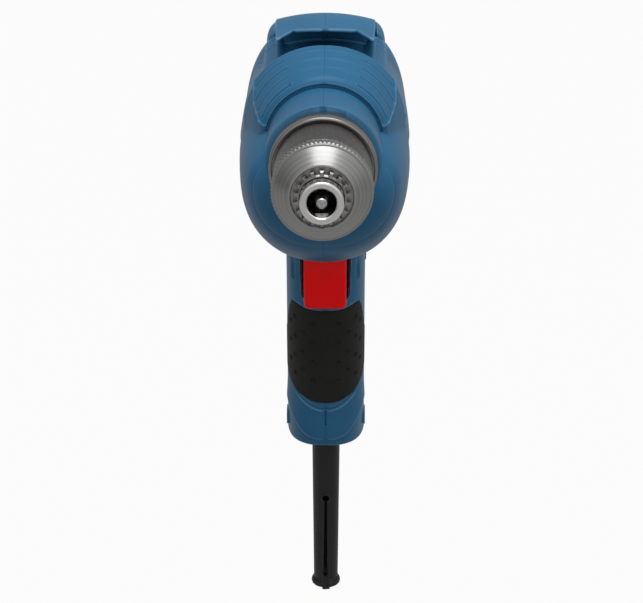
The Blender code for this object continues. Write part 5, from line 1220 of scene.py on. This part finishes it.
# Cord sleeve: black rubber bend protection for the mains cord, slit from a round keyhole nearly to
# its foot so that it can bend, with lips along the slit, a rolled end flange and a tongue over it.
sleeve_foot = sleeve_low.z
sleeve_bore = 0.0037
sleeve_top = -0.1537
sleeve_head = 0.009
sleeve_head_foot = -0.1567
sleeve_neck = 0.0062
sleeve_neck_foot = -0.166
sleeve_end = 0.0055
sleeve_end_rise = 0.0040
flange_top = 0.0034
flange_top_radius = 0.0060
flange_middle = 0.0017
flange_half_height = 0.0014
flange_radius = 0.0058
flange_roll = 0.0008
flange_steps = 8
flange_foot = 0.0002
flange_foot_radius = 0.0054
sleeve_profile = [(sleeve_top, sleeve_bore), (sleeve_top, sleeve_head), (sleeve_head_foot, sleeve_head),
                  (sleeve_head_foot, sleeve_neck), (sleeve_neck_foot, sleeve_neck)]
sleeve_profile += [(sleeve_foot + sleeve_end_rise, sleeve_end), (sleeve_foot + flange_top, flange_top_radius)]
for i in range(flange_steps + 1):
    turn = math.pi * i / flange_steps
    sleeve_profile.append((sleeve_foot + flange_middle + flange_half_height * math.cos(turn),
                           flange_radius + flange_roll * math.sin(turn)))
sleeve_profile += [(sleeve_foot + flange_foot, flange_foot_radius), (sleeve_foot + flange_foot, sleeve_bore)]
cord_sleeve = turned("cord_sleeve_rubber", sleeve_profile, sleeve_line, sides=96)
keyhole_height = -0.1925
keyhole_radius = 0.0015
keyhole_reach = 0.009
keyhole_line = placed((0, -1, 0), (0, sleeve_axis_y, keyhole_height))
keyhole_rim = [(0.0045, 0), (0.0045, 0.0023), (0.0061, 0.0023), (0.0065, 0.0019), (0.0065, 0)]
joined(cord_sleeve, turned("keyhole_rim", keyhole_rim, keyhole_line, sides=48))

slit_half = 0.0004
slit_left_spread = 0.0006
slit_right_spread = 0.0002
slit_wave = 0.00012
slit_wave_angle = 26
slit_end = 0.007
slit_reach = 0.010
slit_lips = ((-1, 0.0010, sleeve_foot + 0.004), (1, 0.0012, sleeve_foot))
slit_lip_top = keyhole_height - 0.0005
slit_lip_depth = 0.0014
slit_lip_corner = 0.00045
slit_lip_front = 0.0063
slit_lip_swell = 0.0005
slit_lip_swell_run = (sleeve_foot + 0.012, sleeve_foot + 0.004)
tongue_outline = round_box(0.0012, 0.0011, 0.0004, steps=4)
tongue_aside = -0.0004
tongue_front = 0.0060
tongue_length = 0.008


def slit_edge(side, z):
    """Width of the slit's left or right lip below the keyhole, a little wavy on the right."""
    share = (keyhole_height - z) / (keyhole_height - sleeve_foot)
    if side < 0:
        return -slit_half - slit_left_spread * share
    return slit_half + slit_right_spread * share + slit_wave * math.sin(slit_wave_angle * share) * share


for side, thick, foot in slit_lips:
    slit_lip_outline = round_box(thick / 2, slit_lip_depth, slit_lip_corner, steps=4)
    lip_rows = []
    for z in levels((slit_lip_top, 0.0015), (foot, 0.001)):
        middle = slit_edge(side, z) + side * thick / 2
        front = sleeve_axis_y - slit_lip_front - slit_lip_swell * ease(z, *slit_lip_swell_run)
        lip_rows.append([(middle + x, front + slit_lip_depth + y, z) for x, y in slit_lip_outline])
    joined(cord_sleeve, lofted("slit_lip", lip_rows))
tongue_rows = []
for z in levels((sleeve_foot + tongue_length, 0.001), (sleeve_foot, 0.001)):
    tongue_rows.append([(tongue_aside + x, sleeve_axis_y - tongue_front + y, z) for x, y in tongue_outline])
joined(cord_sleeve, lofted("tongue", tongue_rows))
cut(cord_sleeve, rod("keyhole", keyhole_radius, 0.0, keyhole_reach, keyhole_line))
slit_rows = []
for z in levels((keyhole_height, 0.0015), (sleeve_foot + slit_end, 0.001)):
    outline = oblong(slit_edge(-1, z), slit_edge(1, z), sleeve_axis_y - slit_reach, sleeve_axis_y)
    slit_rows.append([(x, y, z) for x, y in outline])
cut(cord_sleeve, lofted("slit", slit_rows))
sleeve_rubber = grained("sleeve_rubber", (0.0070, 0.0070, 0.0068), (0.0100, 0.0100, 0.0096), rough=0.42,
                        grain_scale=1500.0, grain_depth=0.00005, specular=0.30)
dressed(cord_sleeve, sleeve_rubber, "housing", "cord_sleeve")


# Chuck body: turned from bar steel with a blued-grey rear ring and a bright nose, screwed on the
# spindle. Three inclined bores take the jaws, and three cross holes in the nose take the key's pilot.
jaw_lean = math.radians(17)
jaw_slope = math.tan(jaw_lean)
jaw_tip_y = -0.0478
jaw_tip_axis = 0.00146
jaw_radius = 0.0030
jaw_length = 0.0285
jaw_clearance = 0.0003
jaw_bore_run = (-0.006, jaw_length + 0.0176)
jaw_turns = [math.radians(90 + 120 * i) for i in range(3)]
nut_clearance = jaw_radius / math.cos(jaw_lean) + jaw_clearance
nut_gap = 0.0006
chuck_front = -0.0487
chuck_back = -0.0015
chuck_nose = 0.0077
chuck_nose_back = -0.0340
chuck_edge = 0.0009
chuck_bore = 0.0052
chuck_bore_edge = 0.0004
chuck_waist = 0.0140
chuck_waist_front = -0.0202
chuck_thread = 0.0066
chuck_thread_floor = -0.0165
chuck_ring = 0.0197
chuck_ring_front = -0.0099
chuck_ring_edge = 0.0006
chuck_ring_facet = 0.0002
ring_recess_floor = -0.0080
ring_recess_mouth = -0.0098
ring_recess_inner = 0.0162
ring_recess_outer = 0.0187
screw_hole_radius = 0.0028
screw_hole_front = -0.0194
key_hole_radius = 0.0024
key_hole_place = -0.0455
key_hole_run = (0.0042, 0.0087)


def jaw_axis(turn, y):
    """Point on a jaw's own axis, at a distance along the spindle."""
    radius = jaw_tip_axis + jaw_slope * (y - jaw_tip_y)
    return Vector((radius * math.cos(turn), y, radius * math.sin(turn)))


def jaw_line(turn):
    """Frame along a jaw's own axis, from its tip."""
    tip = jaw_axis(turn, jaw_tip_y)
    return placed(jaw_axis(turn, 0) - tip, tip)


def nut_bore(y):
    """Radius of the cone that just clears the outer side of the jaws."""
    return jaw_tip_axis + jaw_slope * (y - jaw_tip_y) + nut_clearance


def rounded_front(front, radius):
    """Profile of a front edge rounded up to a radius."""
    profile = []
    for turn in quarter_turn(6):
        profile.append((front + chuck_edge * (1 - math.cos(turn)),
                        radius - chuck_edge * (1 - math.sin(turn))))
    return profile


body_profile = [(chuck_front + chuck_bore_edge, chuck_bore), (chuck_front, chuck_bore + chuck_bore_edge)]
body_profile += rounded_front(chuck_front, chuck_nose)
body_profile += [(chuck_nose_back, chuck_nose), (chuck_nose_back, nut_bore(chuck_nose_back) - nut_gap)]
body_profile += [(chuck_waist_front, nut_bore(chuck_waist_front) - nut_gap), (chuck_waist_front, chuck_waist)]
body_profile += [(chuck_ring_front, chuck_waist), (chuck_ring_front, ring_recess_inner)]
body_profile += [(ring_recess_floor, ring_recess_inner), (ring_recess_floor, ring_recess_outer)]
body_profile += [(ring_recess_mouth, ring_recess_outer)]
body_profile += rounded_front(chuck_ring_front, chuck_ring)
body_profile += [(chuck_back - chuck_ring_edge, chuck_ring)]
body_profile += [(chuck_back - chuck_ring_facet, chuck_ring - chuck_ring_facet)]
body_profile += [(chuck_back, chuck_ring - chuck_ring_edge), (chuck_back, chuck_thread)]
body_profile += [(chuck_thread_floor, chuck_thread), (chuck_thread_floor, screw_hole_radius)]
body_profile += [(screw_hole_front, screw_hole_radius), (screw_hole_front, chuck_bore)]
chuck_body = turned("chuck_body_turning", body_profile, spindle_line, sides=192)
for turn in jaw_turns:
    cut(chuck_body, rod("jaw_bore", jaw_radius + jaw_clearance, *jaw_bore_run, jaw_line(turn), sides=48))
    key_line = placed((-math.cos(turn), 0, -math.sin(turn)), (0, key_hole_place, 0))
    cut(chuck_body, rod("key_hole", key_hole_radius, *key_hole_run, key_line, sides=32))


def lathe_turned(name, dark, light, rough, marks, grain, grain_depth, height=0.0, dots=0.0):
    """Lathe-turned metal: fine rings about an axis along the drill, at a height, and a little grain."""
    finish, tree, surface = new_finish(name)
    at = place_outputs(tree)
    flat = tree.nodes.new("ShaderNodeCombineXYZ")
    tree.links.new(at["X"], flat.inputs["X"])
    tree.links.new(worked_out(tree, "SUBTRACT", at["Z"], height), flat.inputs["Y"])
    out = tree.nodes.new("ShaderNodeVectorMath")
    out.operation = "LENGTH"
    tree.links.new(flat.outputs[0], out.inputs[0])
    ring = tree.nodes.new("ShaderNodeCombineXYZ")
    tree.links.new(out.outputs["Value"], ring.inputs["X"])
    tree.links.new(at["Y"], ring.inputs["Y"])
    lathe = speckle(tree, ring.outputs[0], scale=marks, detail=4.0)
    gloss = graded(tree, lathe, noise_low, noise_high, low=rough - 0.05, high=rough + 0.05)
    tree.links.new(gloss, surface.inputs["Roughness"])
    place = tree.nodes.new("ShaderNodeTexCoord").outputs["Object"]
    speck = speckle(tree, place, scale=grain, detail=2.0)
    spotted = tree.nodes.new("ShaderNodeMix")
    spotted.inputs["Factor"].default_value = dots
    tree.links.new(lathe, spotted.inputs["A"])
    tree.links.new(speck, spotted.inputs["B"])
    tint = tinted(tree, spotted.outputs["Result"], (noise_low, dark), (noise_high, light))
    tree.links.new(tint, surface.inputs["Base Color"])
    relieved(tree, surface, worked_out(tree, "ADD", lathe, speck), strength=0.3, depth=grain_depth)
    surface.inputs["Metallic"].default_value = 1.0
    return finish


nose_start = -0.021
ring_satin = lathe_turned("ring_satin_steel", (0.21, 0.202, 0.192), (0.30, 0.29, 0.275), rough=0.32,
                          marks=900.0, grain=2600.0, grain_depth=0.00004)
bright_nose = lathe_turned("bright_nose_steel", (0.62, 0.61, 0.60), (0.72, 0.71, 0.70), rough=0.24,
                           marks=1400.0, grain=2600.0, grain_depth=0.00001)
dressed(chuck_body, ring_satin, "spindle", "chuck_body")
chuck_body.data.materials.append(bright_nose)
for face in chuck_body.data.polygons:
    face.material_index = 1 if face.center.y < nose_start else 0


# Chuck sleeve: the turned steel ring that is gripped to close the jaws, with a blasted barrel, a
# knurled band, a smooth cone and a crown of key teeth inside its mouth.
knurl_teeth = 72
knurl_points = 8
knurl_low = 0.01755
knurl_high = 0.01805
knurl_slope = 3.2
knurl_ends = (-0.02, 0.12)
knurl_twist = math.radians(6)
knurl_back = -0.0311
knurl_front = -0.0352
knurl_steps = 10
barrel_radius = 0.0177
sleeve_back = -0.0102
sleeve_bore_radius = 0.0163
sleeve_step_back = -0.0313
sleeve_step_front = -0.0343
mouth_floor = -0.0404
mouth_radius = 0.0109
mouth_bore = 0.0080
ring_points = knurl_teeth * knurl_points
sleeve_step = nut_bore(sleeve_step_back)
barrel = [(sleeve_back, 0.0172), (-0.01035, 0.0175), (-0.0107, barrel_radius), (-0.0302, barrel_radius)]
rear_groove = [(-0.0304, 0.0175), (-0.0306, 0.0174), (-0.0309, 0.0174)]
knurled = 0.0
knurl_run = knurl_front - knurl_back
knurl_band = [(knurl_back + knurl_run * i / knurl_steps, knurled) for i in range(knurl_steps + 1)]
front_groove = [(-0.0354, 0.0173), (-0.0357, 0.0173)]
front_bead = [(-0.0358, 0.01755), (-0.0360, barrel_radius), (-0.0362, 0.01765), (-0.0364, 0.0174),
              (-0.03645, 0.01695)]
cone = [(-0.0367, 0.0168), (-0.0369, 0.01665), (-0.0418, 0.01188)]
mouth_rim = [(-0.04195, 0.0117), (-0.0420, 0.0115), (-0.0420, 0.0112), (-0.0418, mouth_radius)]
sleeve_inside = [(mouth_floor, mouth_radius), (mouth_floor, mouth_bore), (sleeve_step_front, mouth_bore),
                 (sleeve_step_front, sleeve_step), (sleeve_step_back, sleeve_step),
                 (sleeve_step_back, sleeve_bore_radius)]
sleeve_outside = barrel + rear_groove + knurl_band + front_groove + front_bead + cone + mouth_rim
sleeve_rings = [(sleeve_back, sleeve_bore_radius)] + sleeve_outside + sleeve_inside
points = []
for y, radius in sleeve_rings:
    along = (y - knurl_back) / knurl_run
    for j in range(ring_points):
        turn = 2 * math.pi * j / ring_points
        out = radius
        if radius == knurled:
            phase = (j / knurl_points + along * knurl_teeth * knurl_twist / (2 * math.pi)) % 1.0
            crest = min(1.0, knurl_slope * min(phase, 1 - phase)) * ease(min(along, 1 - along), *knurl_ends)
            out = knurl_low + (knurl_high - knurl_low) * crest
        points.append((out * math.cos(turn), y, out * math.sin(turn)))
faces = []
for i in range(len(sleeve_rings)):
    for j in range(ring_points):
        k = (j + 1) % ring_points
        n = (i + 1) % len(sleeve_rings)
        faces.append((i * ring_points + j, i * ring_points + k, n * ring_points + k, n * ring_points + j))
chuck_sleeve = solid("chuck_sleeve_turning", points, faces)

tooth_count = 18
tooth_tip = 0.0101
tooth_root = 0.0087
tooth_foot = 0.0083
tooth_wide = math.radians(6.2)
tooth_narrow = math.radians(3.8)
crown_back = -0.0402
crown_front = -0.0436
crown_bevel = -0.0430
tooth_bevel = -0.0429
tooth_bevel_drop = 0.0005
tooth_bevel_swing = math.radians(0.9)
tooth_rows = ((crown_back, 0.0, 0.0), (tooth_bevel, 0.0, 0.0),
              (crown_front, tooth_bevel_drop, tooth_bevel_swing))
crown_profile = [(crown_back, mouth_bore), (crown_back, tooth_root), (crown_bevel, tooth_root),
                 (crown_front, tooth_foot), (crown_front, mouth_bore)]
crown = turned("crown", crown_profile, spindle_line, sides=192)
points = []
faces = []
for i in range(tooth_count):
    middle = 2 * math.pi * (i + 0.5) / tooth_count
    base = len(points)
    for y, shrink, narrow in tooth_rows:
        corners = ((tooth_foot, -tooth_wide + narrow), (tooth_foot, tooth_wide - narrow),
                   (tooth_tip - shrink, tooth_narrow - narrow), (tooth_tip - shrink, -tooth_narrow + narrow))
        for radius, swing in corners:
            turn = middle + swing
            points.append((radius * math.cos(turn), y, radius * math.sin(turn)))
    for row in range(len(tooth_rows) - 1):
        low = base + 4 * row
        for j in range(4):
            k = (j + 1) % 4
            faces.append((low + j, low + k, low + 4 + k, low + 4 + j))
    faces.append(tuple(base + j for j in range(4)))
    faces.append(tuple(len(points) - 4 + j for j in range(4)))
joined(crown, solid("key_teeth", points, faces))
joined(chuck_sleeve, crown)

cone_back = -0.03085
cone_inner = 0.01095
mouth_back = -0.0340
blasted_steel = lathe_turned("blasted_steel", (0.035, 0.034, 0.033), (0.215, 0.211, 0.206), rough=0.42,
                             marks=300.0, grain=1700.0, grain_depth=0.0006, dots=0.9)
cone_steel = lathe_turned("brushed_cone_steel", (0.22, 0.22, 0.215), (0.34, 0.34, 0.33), rough=0.33,
                          marks=1600.0, grain=2600.0, grain_depth=0.000012)
mouth_steel = lathe_turned("mouth_steel", (0.24, 0.235, 0.23), (0.36, 0.355, 0.35), rough=0.33,
                           marks=900.0, grain=1800.0, grain_depth=0.00004)
dressed(chuck_sleeve, blasted_steel, "chuck_sleeve", "chuck_sleeve")
chuck_sleeve.data.materials.append(cone_steel)
chuck_sleeve.data.materials.append(mouth_steel)
for face in chuck_sleeve.data.polygons:
    out = math.hypot(face.center.x, face.center.z)
    if face.center.y < cone_back and out > cone_inner:
        face.material_index = 1
    elif face.center.y < mouth_back:
        face.material_index = 2


# Chuck jaws: three ground and hardened steel rods in the inclined bores, each faced to a wedge so
# that the three close on the drill's shank, and turned down at the tip.
wedge_half = math.radians(60)
wedge_gap = 0.00004
wedge_reach = 0.04
jaw_tip_radius = 0.0015
jaw_tip_edge = 0.0004
jaw_overlength = 0.005
jaw_back = 0.020
jaw_neck = [(-0.0400, 0.0027), (-0.0340, 0.0056)]
jaw_limit = [(chuck_front, 0), (chuck_front, jaw_tip_radius)]
jaw_limit += [(chuck_front + jaw_tip_edge, jaw_tip_radius + jaw_tip_edge), *jaw_neck]
jaw_limit += [(jaw_back, wedge_reach), (jaw_back, 0)]
hardened_steel = lathe_turned("hardened_jaw_steel", (0.42, 0.42, 0.42), (0.54, 0.54, 0.53), rough=0.30,
                              marks=1200.0, grain=2600.0, grain_depth=0.00002)
for number, turn in enumerate(jaw_turns, 1):
    name = "chuck_jaw_%d" % number
    jaw = rod(name + "_ground", jaw_radius, -jaw_overlength, jaw_length, jaw_line(turn), sides=64)
    apex = wedge_gap / math.sin(wedge_half)
    x = apex * math.cos(turn)
    z = apex * math.sin(turn)
    wedge = [(-x, z)]
    for swing in (-wedge_half, 0, wedge_half):
        wedge.append((-x - wedge_reach * math.cos(turn + swing), z + wedge_reach * math.sin(turn + swing)))
    shaped(jaw, prism("wedge", wedge, chuck_front - 0.001, jaw_back, spindle_line), "INTERSECT")
    shaped(jaw, turned("jaw_limit", jaw_limit, spindle_line, sides=96), "INTERSECT")
    dressed(jaw, hardened_steel, "jaw_%d" % number, name)


# Spindle and gear train: the nut and safety screw of the chuck, the ground spindle with its hobbed
# gear, circlip, ball bearing and sintered bush, and the die-cast plate that carries them.
def finished(finish, *names):
    """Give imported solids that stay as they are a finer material."""
    for name in names:
        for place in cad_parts[name].material_slots:
            place.material = finish


ground_steel = lathe_turned("ground_steel", (0.42, 0.42, 0.42), (0.54, 0.54, 0.53), rough=0.24,
                            marks=1500.0, grain=2400.0, grain_depth=0.00002)
blacked_steel = lathe_turned("blacked_steel", (0.055, 0.055, 0.055), (0.10, 0.10, 0.098), rough=0.40,
                             marks=900.0, grain=2000.0, grain_depth=0.00004)
bronze_sinter = grained("bronze_sinter", (0.30, 0.19, 0.09), (0.42, 0.28, 0.14), rough=0.50,
                        grain_scale=1600.0, grain_depth=0.00008, specular=0.5, metallic=1.0)
die_cast = grained("die_cast_alloy", (0.40, 0.40, 0.40), (0.52, 0.52, 0.52), rough=0.48,
                   grain_scale=900.0, grain_depth=0.00010, specular=0.5, metallic=1.0)
finished(ground_steel, "chuck_nut", "spindle", "spindle_gear")
finished(ground_steel, "spindle_bearing_outer", "spindle_bearing_inner")
finished(blacked_steel, "chuck_screw", "gear_circlip")
finished(bronze_sinter, "spindle_rear_bush")
finished(die_cast, "gear_plate")


# Motor: the armature on its shaft with stamped laminations, wound copper ends, commutator and fan,
# running in two ball bearings, the rear one cushioned in rubber, inside the wound field.
wave_radians_per_metre = 20


def layered(name, dark, light, rough, pitch, depth, direction, metallic=1.0):
    """A stack of sheets or a winding of wire: fine lines across a direction, in colour and relief."""
    finish, tree, surface = new_finish(name)
    place = tree.nodes.new("ShaderNodeTexCoord").outputs["Object"]
    wave = tree.nodes.new("ShaderNodeTexWave")
    wave.bands_direction = direction
    wave.inputs["Scale"].default_value = 2 * math.pi / (wave_radians_per_metre * pitch)
    wave.inputs["Distortion"].default_value = 0.6
    wave.inputs["Detail"].default_value = 2.0
    tree.links.new(place, wave.inputs["Vector"])
    lines = wave.outputs["Fac"]
    tree.links.new(tinted(tree, lines, (0.0, dark), (0.6, light)), surface.inputs["Base Color"])
    gloss = graded(tree, lines, 0.0, 1.0, low=rough + 0.10, high=rough)
    tree.links.new(gloss, surface.inputs["Roughness"])
    relieved(tree, surface, lines, strength=0.5, depth=depth)
    surface.inputs["Metallic"].default_value = metallic
    return finish


motor_height = -0.0224
motor_steel = lathe_turned("motor_steel", (0.42, 0.42, 0.42), (0.54, 0.54, 0.53), rough=0.24,
                           marks=1500.0, grain=2400.0, grain_depth=0.00002, height=motor_height)
brushed_copper = lathe_turned("brushed_copper", (0.52, 0.22, 0.10), (0.68, 0.32, 0.16), rough=0.26,
                              marks=1100.0, grain=2400.0, grain_depth=0.00003, height=motor_height)
laminations = layered("laminations", (0.10, 0.10, 0.10), (0.24, 0.24, 0.24), rough=0.36,
                      pitch=0.0005, depth=0.00005, direction="Y")
wound_wire = layered("wound_wire", (0.20, 0.055, 0.018), (0.56, 0.20, 0.070), rough=0.30,
                     pitch=0.0006, depth=0.00018, direction="DIAGONAL", metallic=0.8)
finished(motor_steel, "armature_shaft")
finished(motor_steel, "armature_front_bearing_outer", "armature_front_bearing_inner")
finished(motor_steel, "armature_rear_bearing_outer", "armature_rear_bearing_inner")
finished(laminations, "armature_core", "stator_core")
finished(wound_wire, "armature_winding_front", "armature_winding_rear", "field_coil_left", "field_coil_right")
finished(brushed_copper, "commutator")
finished(dark_nylon, "fan")
finished(black_rubber, "bearing_cushion")


# Brush gear: pressed brass holders, carbon brushes and their spring-steel coils. The coils of the
# trigger and the lock button are of the same drawn wire.
brass_sheet = layered("rolled_brass", (0.50, 0.34, 0.12), (0.64, 0.46, 0.18), rough=0.28,
                      pitch=0.0004, depth=0.00001, direction="Z")
carbon_block = grained("carbon_block", (0.018, 0.018, 0.019), (0.034, 0.034, 0.036), rough=0.55,
                       grain_scale=1400.0, grain_depth=0.00008, specular=0.3)
spring_wire = layered("drawn_spring_wire", (0.30, 0.30, 0.30), (0.46, 0.46, 0.46), rough=0.26,
                      pitch=0.0003, depth=0.00001, direction="X")
finished(brass_sheet, "brush_holder_left", "brush_holder_right")
finished(carbon_block, "brush_left", "brush_right")
finished(spring_wire, "brush_spring_left", "brush_spring_right", "trigger_spring", "lock_spring")


# Switch and cord clamp: a moulded switch box, a dipped film capacitor, and the bar that two screws
# press on the cord inside the foot.
dipped_film = grained("dipped_film", (0.34, 0.20, 0.022), (0.46, 0.29, 0.040), rough=0.34,
                      grain_scale=900.0, grain_depth=0.00006, specular=0.45)
finished(dark_nylon, "switch_body", "cord_clamp")
finished(dipped_film, "capacitor")


# Screws: zinc-plated thread-forming screws, seven through the left half of the housing and two in
# the cord clamp.
zinc_plate = grained("zinc_plate", (0.40, 0.41, 0.42), (0.54, 0.55, 0.57), rough=0.30,
                     grain_scale=1500.0, grain_depth=0.00003, specular=0.5, metallic=1.0)
finished(zinc_plate, *["housing_screw_%d" % number for number in range(1, 8)])
finished(zinc_plate, "clamp_screw_1", "clamp_screw_2")
